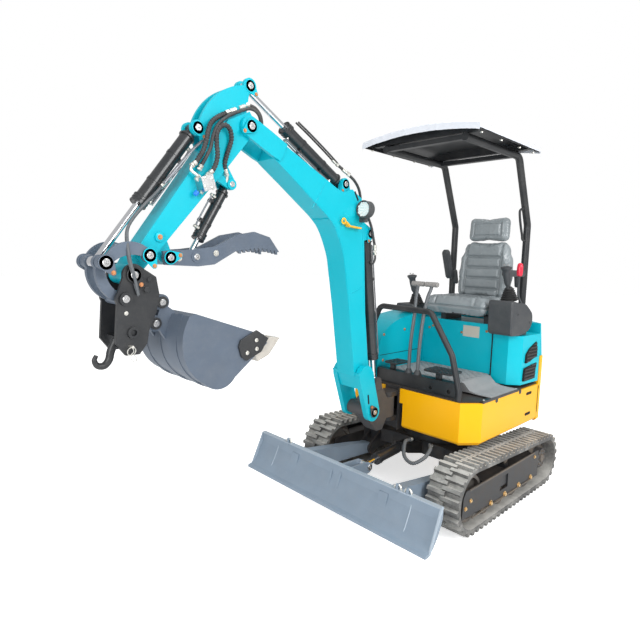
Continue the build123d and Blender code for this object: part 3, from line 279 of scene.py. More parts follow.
def fitting(start, end, radius):
    """Hose end: a hexagon nut, a neck and a crimped sleeve between two points."""
    start, axis = np.asarray(start, float), np.subtract(end, start)
    r, n = radius, np.linalg.norm(axis)
    nut = turned([(0, 0), (0, 1.25 * r), (0.28 * n, 1.25 * r), (0.3 * n, 0)], start, axis, 6)
    ridges = []
    for s in (0.45 + 0.11 * np.arange(5)) * n:
        ridges += [(s, 1.12 * r), (s + 0.05 * n, 1.2 * r), (s + 0.08 * n, 1.05 * r)]
    sleeve = turned([(0.26 * n, 0), (0.26 * n, 0.7 * r), (0.42 * n, 0.7 * r), *ridges, (n, r), (n, 0)],
                    start, axis, 16)
    return nut, sleeve


def ring_outline(radius, sides):
    """Regular outline of the radius and number of sides."""
    angle = np.arange(sides) * TAU / sides
    return np.stack([np.cos(angle), np.sin(angle)], axis=1) * radius


class Bundle:
    """Meshes gathered into one piece."""

    def __init__(self):
        self.points = []
        self.faces = []
        self.count = 0

    def add(self, mesh):
        """Take in a pair of points and faces."""
        points, faces = mesh
        self.points.append(np.asarray(points, float))
        self.faces.extend(tuple(int(i) + self.count for i in face) for face in faces)
        self.count += len(points)
        return self

    def take(self, *meshes):
        """Take in several pairs of points and faces."""
        for mesh in meshes:
            self.add(mesh)
        return self

    def place(self, name, body, material, slot, smooth_angle=SMOOTH):
        """Make the object, ride it on its body and give it its finish."""
        return place_mesh(name, (np.vstack(self.points), self.faces), body, material, smooth_angle)


def add_object(name, data):
    """Object linked to the scene."""
    thing = bpy.data.objects.new(name, data)
    bpy.context.scene.collection.objects.link(thing)
    return thing


def place_mesh(name, mesh, body, material, smooth_angle=SMOOTH):
    """Make one mesh object from points and faces, riding on a body."""
    points, faces = mesh
    data = bpy.data.meshes.new(name)
    data.from_pydata(np.asarray(points).tolist(), [], [tuple(int(i) for i in f) for f in faces])
    data.validate()
    data.update()
    outward(data)
    if smooth_angle:
        data.polygons.foreach_set("use_smooth", np.ones(len(data.polygons), bool))
        data.set_sharp_from_angle(angle=math.radians(smooth_angle))
    piece = add_object(name, data)
    data.materials.append(finish(material))
    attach(piece, body)
    return piece


def outward(data):
    """Merge doubled points and turn the faces outwards."""
    mesh = bmesh.new()
    mesh.from_mesh(data)
    bmesh.ops.remove_doubles(mesh, verts=mesh.verts, dist=MERGE)
    bmesh.ops.recalc_face_normals(mesh, faces=mesh.faces)
    mesh.to_mesh(data)
    mesh.free()


# Shader node groups

# Sockets of a colour mix, which share their names with those of the other kinds
MIX_FIRST, MIX_SECOND, MIX_RESULT = 6, 7, 2

def new_group(name, inputs, outputs):
    """Empty shader group with named float, colour or vector sockets."""
    group = bpy.data.node_groups.new(name, "ShaderNodeTree")
    for label, kind, value in inputs:
        socket = group.interface.new_socket(label, in_out="INPUT", socket_type="NodeSocket" + kind)
        if value is not None:
            socket.default_value = value
    for label, kind in outputs:
        group.interface.new_socket(label, in_out="OUTPUT", socket_type="NodeSocket" + kind)
    source = group.nodes.new("NodeGroupInput")
    sink = group.nodes.new("NodeGroupOutput")
    return group, source, sink


def add_node(tree, kind, **values):
    """Node with its properties and its unlinked inputs set; input names have spaces as underscores."""
    node = tree.nodes.new("ShaderNode" + kind)
    for key, value in values.items():
        label = key.replace("_", " ")
        if label in node.inputs:
            node.inputs[label].default_value = value
        else:
            setattr(node, key, value)
    return node


def feed(source, output, target, inlet):
    """Link an output of one node to an input of another node in its tree."""
    source.id_data.links.new(source.outputs[output], target.inputs[inlet])


def dust_group():
    """Mask of settled dust: patches of noise, more on faces that look up."""
    group, source, sink = new_group(
        "Settled Dust", [("Scale", "Float", 6.0), ("Amount", "Float", 0.3), ("On Tops", "Float", 0.3)],
        [("Mask", "Float")])
    place = add_node(group, "TexCoord")
    patches = add_node(group, "TexNoise", Detail=6.0, Roughness=0.65)
    fine = add_node(group, "TexNoise", Scale=140.0, Detail=3.0)
    geometry = add_node(group, "NewGeometry")
    axes = add_node(group, "SeparateXYZ")
    tops, scaled = (add_node(group, "Math", operation="MULTIPLY") for _ in range(2))
    up = add_node(group, "Math", operation="MAXIMUM")
    up.inputs[1].default_value = 0.0
    total = add_node(group, "Math", operation="ADD")
    spread = add_node(group, "MapRange", From_Min=0.42, From_Max=0.72)
    final = add_node(group, "Math", operation="MULTIPLY", use_clamp=True)
    feed(place, "Object", patches, "Vector")
    feed(source, "Scale", patches, "Scale")
    feed(place, "Object", fine, "Vector")
    feed(geometry, "Normal", axes, 0)
    feed(axes, "Z", up, 0)
    feed(up, 0, tops, 0)
    feed(source, "On Tops", tops, 1)
    feed(patches, "Fac", spread, "Value")
    feed(spread, "Result", scaled, 0)
    feed(fine, "Fac", scaled, 1)
    feed(scaled, 0, total, 0)
    feed(tops, 0, total, 1)
    feed(total, 0, final, 0)
    feed(source, "Amount", final, 1)
    feed(final, 0, sink, "Mask")
    return group


def grain_group():
    """Height of a fine surface grain: two octaves of noise mixed by a share."""
    group, source, sink = new_group(
        "Surface Grain", [("Scale", "Float", 300.0), ("Coarse Share", "Float", 0.4)],
        [("Height", "Float"), ("Tone", "Float")])
    place = add_node(group, "TexCoord")
    fine = add_node(group, "TexNoise", Detail=2.0)
    coarse = add_node(group, "TexNoise", Scale=9.0, Detail=3.0)
    mix = add_node(group, "Mix")
    feed(place, "Object", fine, "Vector")
    feed(source, "Scale", fine, "Scale")
    feed(place, "Object", coarse, "Vector")
    feed(source, "Coarse Share", mix, "Factor")
    feed(fine, "Fac", mix, 2)
    feed(coarse, "Fac", mix, 3)
    feed(mix, 0, sink, "Height")
    feed(coarse, "Fac", sink, "Tone")
    return group


def tone_group():
    """Colour that drifts between two tones with a slow noise."""
    group, source, sink = new_group(
        "Tone Drift", [("Light", "Color", None), ("Dark", "Color", None), ("Scale", "Float", 3.0)],
        [("Colour", "Color")])
    place = add_node(group, "TexCoord")
    noise = add_node(group, "TexNoise", Detail=4.0, Roughness=0.6)
    mix = add_node(group, "Mix", data_type="RGBA")
    feed(place, "Object", noise, "Vector")
    feed(source, "Scale", noise, "Scale")
    feed(noise, "Fac", mix, "Factor")
    feed(source, "Dark", mix, MIX_FIRST)
    feed(source, "Light", mix, MIX_SECOND)
    feed(mix, MIX_RESULT, sink, "Colour")
    return group


DUST_ROUGHNESS = 0.95
GROUPS = {}


def shared(name):
    """Shader group by name, built at its first use."""
    makers = {"dust": dust_group, "grain": grain_group, "tone": tone_group}
    if name not in GROUPS:
        GROUPS[name] = makers[name]()
    return GROUPS[name]


def use_group(tree, name, **values):
    """Shared group placed in a material with its own values."""
    node = tree.nodes.new("ShaderNodeGroup")
    node.node_tree = shared(name)
    set_inputs(node, **values)
    return node


def rgb(colour):
    """Colour with full opacity."""
    return (*tuple(colour)[:3], 1.0)


def shaded(name):
    """New material with its Principled shader."""
    material = bpy.data.materials.new(name)
    material.use_nodes = True
    return material, material.node_tree.nodes["Principled BSDF"]


def set_inputs(node, **values):
    """Set a node's inputs; their names have spaces as underscores."""
    for key, value in values.items():
        node.inputs[key.replace("_", " ")].default_value = value


def surface_material(name, colour, roughness, metallic=0.0, coat=0.0, dust=0.0, on_tops=0.0,
                     dust_colour=(0.42, 0.39, 0.34), dust_scale=6.0, drift=0.12, drift_scale=3.0,
                     bump=0.02, grain=300.0, coarse=0.35, sheen=0.0, specular=0.5):
    """Finish with a drifting tone, settled dust and a fine grain; bump is in centimetres."""
    material, shader = shaded(name)
    tree = material.node_tree
    dark = [c * (1.0 - drift) for c in colour[:3]]
    light = [min(1.0, c * (1.0 + drift)) for c in colour[:3]]
    tone = use_group(tree, "tone", Light=rgb(light), Dark=rgb(dark), Scale=drift_scale)
    powder = use_group(tree, "dust", Scale=dust_scale, Amount=dust, On_Tops=on_tops)
    relief = use_group(tree, "grain", Scale=grain, Coarse_Share=coarse)
    mix = add_node(tree, "Mix", data_type="RGBA")
    mix.inputs[MIX_SECOND].default_value = rgb(dust_colour)
    rough = add_node(tree, "MapRange", To_Min=roughness, To_Max=DUST_ROUGHNESS)
    height = add_node(tree, "Bump", Strength=1.0, Distance=bump * 0.01)
    feed(tone, "Colour", mix, MIX_FIRST)
    feed(powder, "Mask", mix, "Factor")
    feed(mix, MIX_RESULT, shader, "Base Color")
    feed(powder, "Mask", rough, "Value")
    feed(rough, "Result", shader, "Roughness")
    feed(relief, "Height", height, "Height")
    feed(height, "Normal", shader, "Normal")
    set_inputs(shader, Metallic=metallic, Coat_Weight=coat, Coat_Roughness=0.12, Sheen_Weight=sheen,
               Specular_IOR_Level=specular)
    return material


def crinkle_bump(tree, scale, distance):
    """Sharp folds of thin film as a bump node."""
    bump = add_node(tree, "Bump", Strength=1.0, Distance=distance)
    feed(ridged_noise(tree, Scale=scale, Detail=3.0, Distortion=1.6), "Fac", bump, "Height")
    return bump


def ridged_noise(tree, **values):
    """Ridged noise on the object's coordinates."""
    noise = add_node(tree, "TexNoise", **values)
    noise.noise_type = "RIDGED_MULTIFRACTAL"
    feed(add_node(tree, "TexCoord"), "Object", noise, "Vector")
    return noise


def film_material():
    """Pale milky wrapping film with folds."""
    material = surface_material("Milky Film", (0.74, 0.77, 0.83), 0.18, coat=0.4, drift=0.06, bump=0.01)
    tree = material.node_tree
    feed(crinkle_bump(tree, 9.0, 0.004), "Normal", tree.nodes["Principled BSDF"], "Normal")
    return material


def wrapped_material():
    """Grey seat cloth under clear film: the film is a glossy coat with folds of its own; pale streaks mixed
    into the cloth's colour are painted highlights of the film, and the pale dust is partly real dust and
    partly painted reflection of the film.
    """
    # The pale grey-blue dust on the cloth is partly real dust and partly painted reflection of the film
    material = surface_material("Wrapped Cloth", (0.19, 0.22, 0.235), 0.75, drift=0.15, bump=0.05,
                                grain=900.0, dust=0.35, dust_scale=9.0, dust_colour=(0.42, 0.46, 0.48))
    tree = material.node_tree
    shader = tree.nodes["Principled BSDF"]
    feed(crinkle_bump(tree, 11.0, 0.006), "Normal", shader, "Coat Normal")
    set_inputs(shader, Coat_Weight=0.9, Coat_Roughness=0.14)
    # Pale streaks from ridged noise mixed into the colour: painted highlights of the film
    share = add_node(tree, "MapRange", From_Min=0.5, From_Max=1.25, To_Min=0.1, To_Max=0.95)
    painted_highlight = add_node(tree, "Mix", data_type="RGBA")
    painted_highlight.inputs[MIX_SECOND].default_value = (0.66, 0.71, 0.73, 1.0)
    feed(ridged_noise(tree, Scale=16.0, Detail=4.0, Distortion=2.2), "Fac", share, "Value")
    feed(share, "Result", painted_highlight, "Factor")
    tree.links.new(shader.inputs["Base Color"].links[0].from_socket, painted_highlight.inputs[MIX_FIRST])
    feed(painted_highlight, MIX_RESULT, shader, "Base Color")
    return material


FINISHES = {}


# Colours are shares from 0 to 1; a colour given by name is one of the panel's paints
RECIPES = {
    "teal": dict(colour="teal", roughness=0.36, coat=0.1, drift=0.05, bump=0.012, grain=420.0,
                 dust=0.03, specular=0.25),
    "dark_teal": dict(colour="dark_teal", roughness=0.38, coat=0.1, drift=0.06, bump=0.012, dust=0.04,
                      specular=0.25),
    "yellow": dict(colour="yellow", roughness=0.36, coat=0.1, drift=0.02, bump=0.012, dust=0.02,
                   specular=0.25),
    "charcoal": dict(colour="charcoal", roughness=0.5, drift=0.2, bump=0.03, dust=0.35,
                     dust_scale=18.0, dust_colour=(0.2, 0.15, 0.11)),
    "black": dict(colour="black", roughness=0.38, drift=0.15, bump=0.015, dust=0.1, on_tops=0.1),
    "frame_black": dict(colour="black", roughness=0.45, drift=0.2, dust=0.4, on_tops=0.35,
                        dust_colour=(0.16, 0.12, 0.09), dust_scale=10.0),
    "barrel": dict(colour="black", roughness=0.3, drift=0.1, bump=0.008, coat=0.3, dust=0.08),
    "rubber": dict(colour="rubber", roughness=0.75, drift=0.3, drift_scale=14.0, bump=0.08, grain=160.0,
                   dust=0.95, on_tops=0.75, dust_scale=11.0, dust_colour=(0.5, 0.49, 0.46)),
    "iron": dict(colour=(0.11, 0.1, 0.09), roughness=0.65, drift=0.3, bump=0.06, dust=0.8, on_tops=0.3,
                 dust_colour=(0.24, 0.18, 0.12)),
    "chrome": dict(colour=(0.82, 0.83, 0.86), roughness=0.1, metallic=1.0, drift=0.04, bump=0.003,
                   dust=0.03),
    "steel": dict(colour=(0.6, 0.6, 0.6), roughness=0.32, metallic=1.0, drift=0.15, dust=0.12),
    "zinc": dict(colour=(0.72, 0.71, 0.66), roughness=0.35, metallic=0.85, drift=0.15, dust=0.1),
    "brass": dict(colour=(0.72, 0.5, 0.24), roughness=0.35, metallic=0.9, drift=0.2, dust=0.2),
    "copper_bolt": dict(colour=(0.6, 0.27, 0.12), roughness=0.4, metallic=0.6, drift=0.2),
    "plastic": dict(colour=(0.045, 0.05, 0.056), roughness=0.5, bump=0.05, grain=700.0, dust=0.15,
                    on_tops=0.1),
    "grip": dict(colour=(0.28, 0.27, 0.26), roughness=0.55, drift=0.1, bump=0.04, grain=600.0, dust=0.1),
    "red": dict(colour=(0.75, 0.015, 0.05), roughness=0.35, drift=0.05, bump=0.01, coat=0.2),
    "hose": dict(colour=(0.03, 0.03, 0.033), roughness=0.55, drift=0.2, bump=0.03, dust=0.25),
    "mat": dict(colour=(0.27, 0.275, 0.28), roughness=0.7, drift=0.25, drift_scale=10.0, bump=0.05,
                dust=0.6, on_tops=0.45, dust_colour=(0.42, 0.43, 0.44)),
    "amber": dict(colour=(0.9, 0.45, 0.01), roughness=0.4, coat=0.2, drift=0.05, bump=0.01),
    "fabric": dict(colour=(0.27, 0.28, 0.29), roughness=0.9, drift=0.15, bump=0.12, grain=900.0,
                   sheen=0.3),
    # Near-black painted shade, laid in slots, panel gaps and seams and behind the grilles
    "dark": dict(colour=(0.008, 0.008, 0.009), roughness=0.9, drift=0.1, bump=0.01),
    "tooth": dict(colour=(0.55, 0.52, 0.47), roughness=0.5, metallic=0.4, drift=0.25, drift_scale=30.0,
                  bump=0.05, dust=0.2),
    "blade_slate": dict(colour=(0.235, 0.3, 0.375), roughness=0.42, metallic=0.2, drift_scale=9.0,
                        dust=0.12, dust_scale=14.0),
    "tool_dark": dict(colour=(0.105, 0.135, 0.18), roughness=0.42, metallic=0.25, drift=0.14,
                      drift_scale=9.0, dust=0.12, dust_scale=14.0),
    "rod_grey": dict(colour=(0.13, 0.14, 0.15), roughness=0.4, metallic=0.3, drift=0.1, bump=0.01),
    "pale_slate": dict(colour=(0.36, 0.43, 0.5), roughness=0.45, metallic=0.2),
    "line": dict(colour=(0.22, 0.23, 0.25), roughness=0.4, metallic=0.6, drift=0.15, bump=0.01, dust=0.1),
    "grey_hose": dict(colour=(0.1, 0.11, 0.12), roughness=0.5, drift=0.15, dust=0.2),
    "blue": dict(colour=(0.02, 0.2, 0.75), roughness=0.35, drift=0.05, bump=0.01),
    "reflector": dict(colour=(0.85, 0.86, 0.84), roughness=0.3, drift=0.02, bump=0.002),
    "rubber_clean": dict(colour=(0.02, 0.021, 0.023), roughness=0.7, drift=0.2, bump=0.03, dust=0.1),
    "blank_label": dict(colour=(0.62, 0.58, 0.5), roughness=0.5, drift=0.1, bump=0.01),
}


def recipe(name):
    """Sizes and colour of a finish."""
    sizes = dict(RECIPES[name])
    if isinstance(sizes["colour"], str):
        sizes["colour"] = getattr(bpy.context.scene.excavator_paint, sizes["colour"])
    return sizes


def finish(name):
    """Material by name, made at its first use."""
    special = {"film": film_material, "wrapped": wrapped_material}
    if name not in FINISHES:
        FINISHES[name] = special[name]() if name in special else surface_material(
            name.replace("_", " ").title(), **recipe(name))
    return FINISHES[name]


def dress(node, name):
    """Give a solid its finish."""
    piece = NODES[node]
    piece.data.materials.clear()
    piece.data.materials.append(finish(name))


NODE_FINISH = {
    "teal": ("boom", "arm", "right_hood", "rear_hood"),
    "dark_teal": ("seat_base", "left_cover"),
    "yellow": ("side_skirts", "counterweight"),
    "blade_slate": ("blade",),
    "tool_dark": ("bucket", "thumb", "rocker_links", "connecting_link"),
    "charcoal": ("swing_post", "travel_motors"),
    "frame_black": ("undercarriage_frame", "upper_frame", "track_frames"),
    "black": ("quick_hitch", "canopy_frame", "canopy_roof", "guard_rail", "floor", "pedals_and_levers",
              "seat_rails"),
    "barrel": ("boom_barrel", "arm_barrel", "bucket_barrel", "thumb_barrel", "blade_barrel", "swing_barrel"),
    "chrome": ("boom_rod", "arm_rod", "bucket_rod", "thumb_rod", "blade_rod", "swing_rod"),
    "rubber": ("track_left", "track_right"),
    "iron": ("track_wheels", "engine_block"),
    "steel": ("slew_ring", "valve_block"),
    "plastic": ("consoles", "joysticks", "work_lamp", "armrests"),
    "fabric": ("seat_cushion", "seat_back"),
}


def colour_property(name, description, default):
    """Colour that the panel shows."""
    return bpy.props.FloatVectorProperty(
        name=name, description=description, subtype="COLOR", size=3, min=0.0, max=1.0, default=default)


def power_property(name, description, default):
    """Lamp power that the panel shows."""
    return bpy.props.FloatProperty(
        name=name, description=description, subtype="POWER", unit="POWER", default=default)


class PaintColours(bpy.types.PropertyGroup):
    """Colours of the machine's paints and rubber."""

    teal: colour_property("Body Teal", "Boom, arm and hoods", (0.0, 0.45, 0.56))
    dark_teal: colour_property("Inner Teal", "Seat base and side cover", (0.0, 0.5, 0.62))
    yellow: colour_property("Skirt Yellow", "Side skirts and counterweight", (1.0, 0.48, 0.0))
    charcoal: colour_property("Casting Charcoal", "Swing post and motors", (0.06, 0.062, 0.066))
    black: colour_property("Frame Black", "Frames, posts and roof", (0.018, 0.02, 0.023))
    rubber: colour_property("Track Rubber", "Belts and lugs", (0.1, 0.1, 0.098))


class StudioSettings(bpy.types.PropertyGroup):
    """Floor, light and camera."""

    floor_size: bpy.props.FloatProperty(
        name="Floor Size", description="Side of the floor", subtype="DISTANCE", unit="LENGTH", default=60.0)
    sky_level: bpy.props.FloatProperty(
        name="Sky Level", description="Strength of the even light", default=0.55, min=0.0)
    key_power: power_property("Key Power", "Power of the key lamp", 250.0)
    fill_power: power_property("Fill Power", "Power of the fill lamp", 170.0)
    front_power: power_property("Front Power", "Power of the front lamp", 150.0)
    camera_place: bpy.props.FloatVectorProperty(
        name="Camera Place", description="Where the camera stands", subtype="TRANSLATION", unit="LENGTH",
        size=3, default=(3.188, 1.8891, 1.5357))
    camera_turn: bpy.props.FloatVectorProperty(
        name="Camera Turn", description="Heading, rise and roll in degrees", size=3,
        default=(-133.42, -5.03, 1.83))
    camera_lens: bpy.props.FloatProperty(
        name="Lens", description="Focal length on a 36 mm sensor", subtype="DISTANCE_CAMERA",
        default=28.194)
    camera_shift: bpy.props.FloatVectorProperty(
        name="Shift", description="Lens shift", size=2, default=(0.0274, -0.0267))


# Pins, retainers and bolts

def pin(joint):
    """Pin of a joint as (x, z) from the slewing axis."""
    place = pivot(joint)
    return place[0] - SLEW_X, place[2]


# Pins at the rod ends, as (x, z) from the slewing axis
POST_PIN = (0.667, 0.769)
ARM_ROD_PIN = (1.732, 2.328)
LINK_PIN = (2.435, 1.498)
THUMB_ROD_PIN = (2.024, 1.529)
HEAD_SHARE = 0.78
# Finish, slot and pins of each body; a pin has its place, reach to the side, radius and retainer's turn
PINS = {
    "swing_post": ("charcoal", "charcoal_paint", [(pin("boom"), 0.1155, 0.021, 0.9)]),
    "boom": ("teal", "teal_paint", [
        (pin("arm"), 0.083, 0.021, -0.6), (pin("arm_barrel_pivot"), 0.046, 0.019, -1.0),
        (pin("boom_barrel_pivot"), 0.046, 0.019, -1.2)]),
    "arm": ("teal", "teal_paint", [
        (ARM_ROD_PIN, 0.041, 0.019, -2.4), (pin("bucket_barrel_pivot"), 0.044, 0.019, -2.3),
        (pin("thumb_barrel_pivot"), 0.044, 0.017, None), (pin("thumb"), 0.080, 0.018, 2.9),
        (pin("rocker_pivot"), 0.110, 0.019, -2.0)]),
    "bucket": ("black", "black_paint", [
        (pin("bucket"), 0.090, 0.020, -2.2), (pin("link_pivot"), 0.090, 0.019, None),
        ((2.181, 1.336), 0.066, 0.018, None), ((2.210, 1.249), 0.066, 0.018, None)]),
    "rocker": ("tool_dark", "grey_paint", [(LINK_PIN, 0.110, 0.020, -2.2)]),
    "thumb": ("tool_dark", "slate_paint", [(THUMB_ROD_PIN, 0.072, 0.018, None)]),
}


def make_pins():
    """Silver pin heads with a retainer plate and bolt beside them on both sides."""
    tip, bolt_radius = 0.011, 0.0065
    for body, (paint, slot, pins) in PINS.items():
        heads, plates, bolts = Bundle(), Bundle(), Bundle()
        for (x, z), reach, radius, turn in pins:
            rim = radius + 0.007
            disc = [(0, 0), (0, rim), (0.004, rim), (0.004, 0)]
            for side in SIDES:
                axis = side * LEFT
                y = BOOM_Y + side * reach
                seat = y - side * 0.001
                heads.take(*pin_head(at(x, y, z), axis, HEAD_SHARE * radius, 0.008))
                plates.take(turned(disc, at(x, seat, z), axis, 28))
                if turn is None:
                    continue
                outline = teardrop(radius + tip, tip, radius + 0.028, turn) + np.array([x, z])
                plates.take(side_slab(outline, seat, side * 0.004))
                far = (radius + 0.027) * (math.cos(turn) * FORWARD + math.sin(turn) * UP)
                bolts.take(*hex_bolt(at(x, y + side * 0.003, z) + far, axis, bolt_radius))
        heads.place("pin_heads_" + body, body, "steel", "machined_steel")
        plates.place("pin_retainers_" + body, body, paint, slot)
        if bolts.count:
            bolts.place("retainer_bolts_" + body, body, "copper_bolt", "machined_steel")


ROLLER_X = (0.350, 0.165, -0.035, -0.220)
ROLLER_Z = 0.112
FRAME_BOLTS = ((0.60, 0.205), (0.655, 0.175), (-0.272, 0.24))
HUB = (-0.450, 0.180)
BLADE_HOSE = [(0.060, 0.440, 0.372), (0.090, 0.540, 0.385), (0.170, 0.660, 0.352), (0.262, 0.705, 0.345),
              (0.300, 0.640, 0.375), (0.275, 0.540, 0.395), (0.215, 0.450, 0.382), (0.190, 0.400, 0.360)]


def make_track_details():
    """Brass roller bolts, hub caps and flange rings on both track frames, and the blade's hose."""
    brass, caps = Bundle(), Bundle()
    frame_face, hub_face, bolt_circle = 0.588, 0.567, 0.052
    for side in SIDES:
        axis = side * LEFT
        for x in ROLLER_X:
            brass.take(*hex_bolt(at(x, side * frame_face, ROLLER_Z), axis, 0.013))
        for x, z in FRAME_BOLTS:
            brass.take(*hex_bolt(at(x, side * frame_face, z), axis, 0.009))
        hub = at(HUB[0], side * hub_face, HUB[1])
        for angle in np.arange(9) * TAU / 9:
            spoke = math.cos(angle) * FORWARD + math.sin(angle) * UP
            caps.take(*hex_bolt(hub + bolt_circle * spoke, axis, 0.006))
        caps.take(turned([(0, 0), (0, 0.03), (0.006, 0.03), (0.009, 0.024), (0.009, 0)], hub, axis, 24))
        inner, outer = sorted((side * 0.587, side * 0.594))
        for x0, x1, z in ((-0.25, 0.62, 0.272), (-0.25, 0.58, 0.098)):
            caps.take(block((x0, inner, z - 0.004), (x1, outer, z + 0.004), 0.001))
    brass.place("roller_bolts", "undercarriage", "brass", "machined_steel")
    hose = Bundle().take(wrapped_tube(hose_path(BLADE_HOSE, 90), 0.0085))
    hose.place("blade_hose", "undercarriage", "grey_hose", "dark_plastic")
    ends = Bundle()
    for start, end in (((0.405, 0.052, 0.364), (0.448, 0.062, 0.373)),
                       ((0.370, 0.180, 0.350), (0.408, 0.192, 0.362))):
        ends.take(*fitting(at(*start), at(*end), 0.0100))
    ends.place("blade_hose_ends", "undercarriage", "zinc", "machined_steel")
    caps.place("motor_caps", "undercarriage", "iron", "wheel_iron")


BLADE_FRONT = [(1.072, 0.3555), (1.088, 0.300), (1.1175, 0.236), (1.143, 0.190), (1.1765, 0.1475)]
BLADE_BACK = [(1.066, 0.3545), (1.0665, 0.300), (1.094, 0.238), (1.130, 0.185), (1.173, 0.1475)]
BLADE_END = [(1.060, 0.357), (1.086, 0.357), (1.180, 0.150), (1.160, 0.148)]
SHACKLES = (1.077, 0.362)


def make_blade_details():
    """Skin, weld seams, shackles, pins and the folded upper edge of the blade."""
    pins, seams, rings = Bundle(), Bundle(), Bundle()
    pin_radius, ring_radius = 0.019, 0.021
    for x, z, y, height, outwards in ((0.833, 0.282, 0.041, 0.007, 1), (0.380, 0.190, 0.376, 0.007, 1),
                                      (0.380, 0.190, 0.314, 0.006, -1)):
        for side in SIDES:
            pins.take(*pin_head(at(x, side * y, z), side * outwards * LEFT, pin_radius, height))
    pins.place("blade_pins", "blade", "steel", "machined_steel")
    for y in (0.490, 0.425, -0.425):
        centre = at(SHACKLES[0], y, SHACKLES[1])
        rings.take(closed_ring(centre, UP * ring_radius, LEFT * ring_radius, 0.0052, 8, 20))
    rings.place("blade_shackles", "blade", "zinc", "machined_steel")
    face = smooth_path(BLADE_FRONT, 24)
    back = smooth_path(BLADE_BACK, 24)[::-1] - (0.002, 0.0)
    skin = Bundle().take(side_slab(np.vstack([face, back]), -0.6845, 1.369, 0.0))
    skin.place("blade_face", "blade", "blade_slate", "slate_paint", 20.0)
    for y in (0.517, -0.517):
        seams.take(tube(smooth_path(route(y, *face), 24), 0.0034, 8))
    seams.take(block((1.062, -0.684, 0.3545), (1.091, 0.684, 0.3605)))
    for y in (-0.686, 0.680):
        seams.take(side_slab(BLADE_END, y, 0.006))
    seams.place("blade_seams", "blade", "pale_slate", "slate_paint")


TWIN_LINES = ((0.010, 0.02), (-0.010, 0.0))
CYLINDERS = (
    ("boom_barrel", POST_PIN, 0.036, 0.79, -FORWARD, TWIN_LINES),
    ("arm_barrel", ARM_ROD_PIN, 0.031, 0.49, -UP, TWIN_LINES),
    ("bucket_barrel", LINK_PIN, 0.030, 0.43, -UP, TWIN_LINES),
    ("thumb_barrel", THUMB_ROD_PIN, 0.024, 0.30, FORWARD, ((0.0, 0.0),)),
)


def make_cylinder_details():
    """Port blocks, steel lines and gland rings of the cylinders. A row of the table has the rod's pin,
    the barrel's radius and length, the way its ports face, and each line's shift and late start."""
    for body, tip, radius, length, towards, pipes in CYLINDERS:
        a, b = route(BOOM_Y, pin(body + "_pivot"), tip)
        u = unit(b - a)
        out = unit(np.cross(u, LEFT))
        out *= np.sign(out @ towards)
        ports, lines, rings = Bundle(), Bundle(), Bundle()
        near, far = 0.085, length - 0.045
        port = [(0, 0), (0, 0.010), (0.018, 0.010), (0.02, 0.007), (0.03, 0.007), (0.03, 0)]
        for s in (near, far):
            ports.take(turned(port, a + u * s + out * (radius - 0.006), out, 12))
        for shift, late in pipes:
            lift = a + out * (radius + 0.013) + LEFT * shift
            start, dip = near + late, out * 0.004
            lines.take(tube(smooth_path([lift + u * start - dip, lift + u * (start + 0.02) + dip,
                                         lift + u * (far - 0.02) + dip, lift + u * far - dip], 16),
                            0.0042, 8))
        hidden = radius - 0.004
        gland = [(0, hidden), (0, radius + 0.0062), (0.003, radius + 0.0068), (0.006, radius + 0.0062),
                 (0.006, hidden)]
        band = [(0, hidden), (0, radius + 0.0022), (0.012, radius + 0.0022), (0.012, hidden)]
        for s in (0.052, length - 0.030, length - 0.016, length):
            rings.take(turned(gland, a + u * (s - 0.006), u, 28))
        for s in (0.35 * length, 0.7 * length):
            rings.take(turned(band, a + u * s, u, 28))
            rings.take(clamp_block(a + u * (s + 0.006) + out * radius, u, out))
        ports.place("ports_" + body, body, "zinc", "machined_steel")
        lines.place("steel_lines_" + body, body, "line", "machined_steel")
        rings.place("bands_" + body, body, "barrel", "black_paint")


def clamp_block(place, along_axis, out):
    """Small clamp block on a cylinder."""
    a, b, tall = 0.006, 0.014, 0.018
    return slab([(-a, -b), (a, -b), (a, b), (-a, b)], tall, place, out, along_axis,
                np.cross(out, along_axis), 0.001)


# Hoses and fittings, whose routes are (y, x, z) triples from the slewing axis

ARM_HOSE = [(-0.150, 1.600, 2.100), (-0.100, 1.620, 2.160), (-0.070, 1.650, 2.207),
            (-0.060, 1.690, 2.236), (-0.058, 1.730, 2.243)]
CRIMP = [(-0.056, 1.735, 2.243), (-0.045, 1.870, 2.174)]
ARM_HOSE_LOW = [(-0.045, 1.868, 2.175), (-0.034, 1.919, 2.145), (-0.022, 1.958, 2.112),
                (-0.014, 1.978, 2.072), (-0.012, 1.988, 2.030), (-0.012, 2.003, 1.985),
                (-0.014, 2.024, 1.948), (-0.016, 2.036, 1.930)]
ARM_HOSE_TWIN = [(-0.070, 1.640, 2.150), (-0.056, 1.672, 2.210), (-0.050, 1.725, 2.226),
                 (-0.040, 1.800, 2.196), (-0.026, 1.880, 2.150), (-0.006, 1.938, 2.098),
                 (-0.004, 1.960, 2.050), (-0.004, 1.972, 2.000), (-0.010, 1.994, 1.950),
                 (-0.012, 2.010, 1.922)]
ELBOW = [(-0.016, 2.036, 1.930), (-0.014, 2.058, 1.912), (-0.010, 2.060, 1.892), (-0.008, 2.040, 1.879),
         (-0.008, 2.020, 1.872)]
LOOP = [(-0.006, 1.958, 1.905), (-0.003, 1.944, 1.935), (0.000, 1.938, 1.975), (0.000, 1.943, 2.020),
        (0.000, 1.943, 2.062), (-0.002, 1.926, 2.096), (-0.006, 1.895, 2.111), (-0.012, 1.866, 2.097),
        (-0.018, 1.854, 2.056), (-0.024, 1.868, 2.001), (-0.030, 1.878, 1.958), (-0.036, 1.874, 1.926)]
LOOP_END = [(-0.036, 1.874, 1.928), (-0.046, 1.856, 1.902), (-0.056, 1.850, 1.874)]
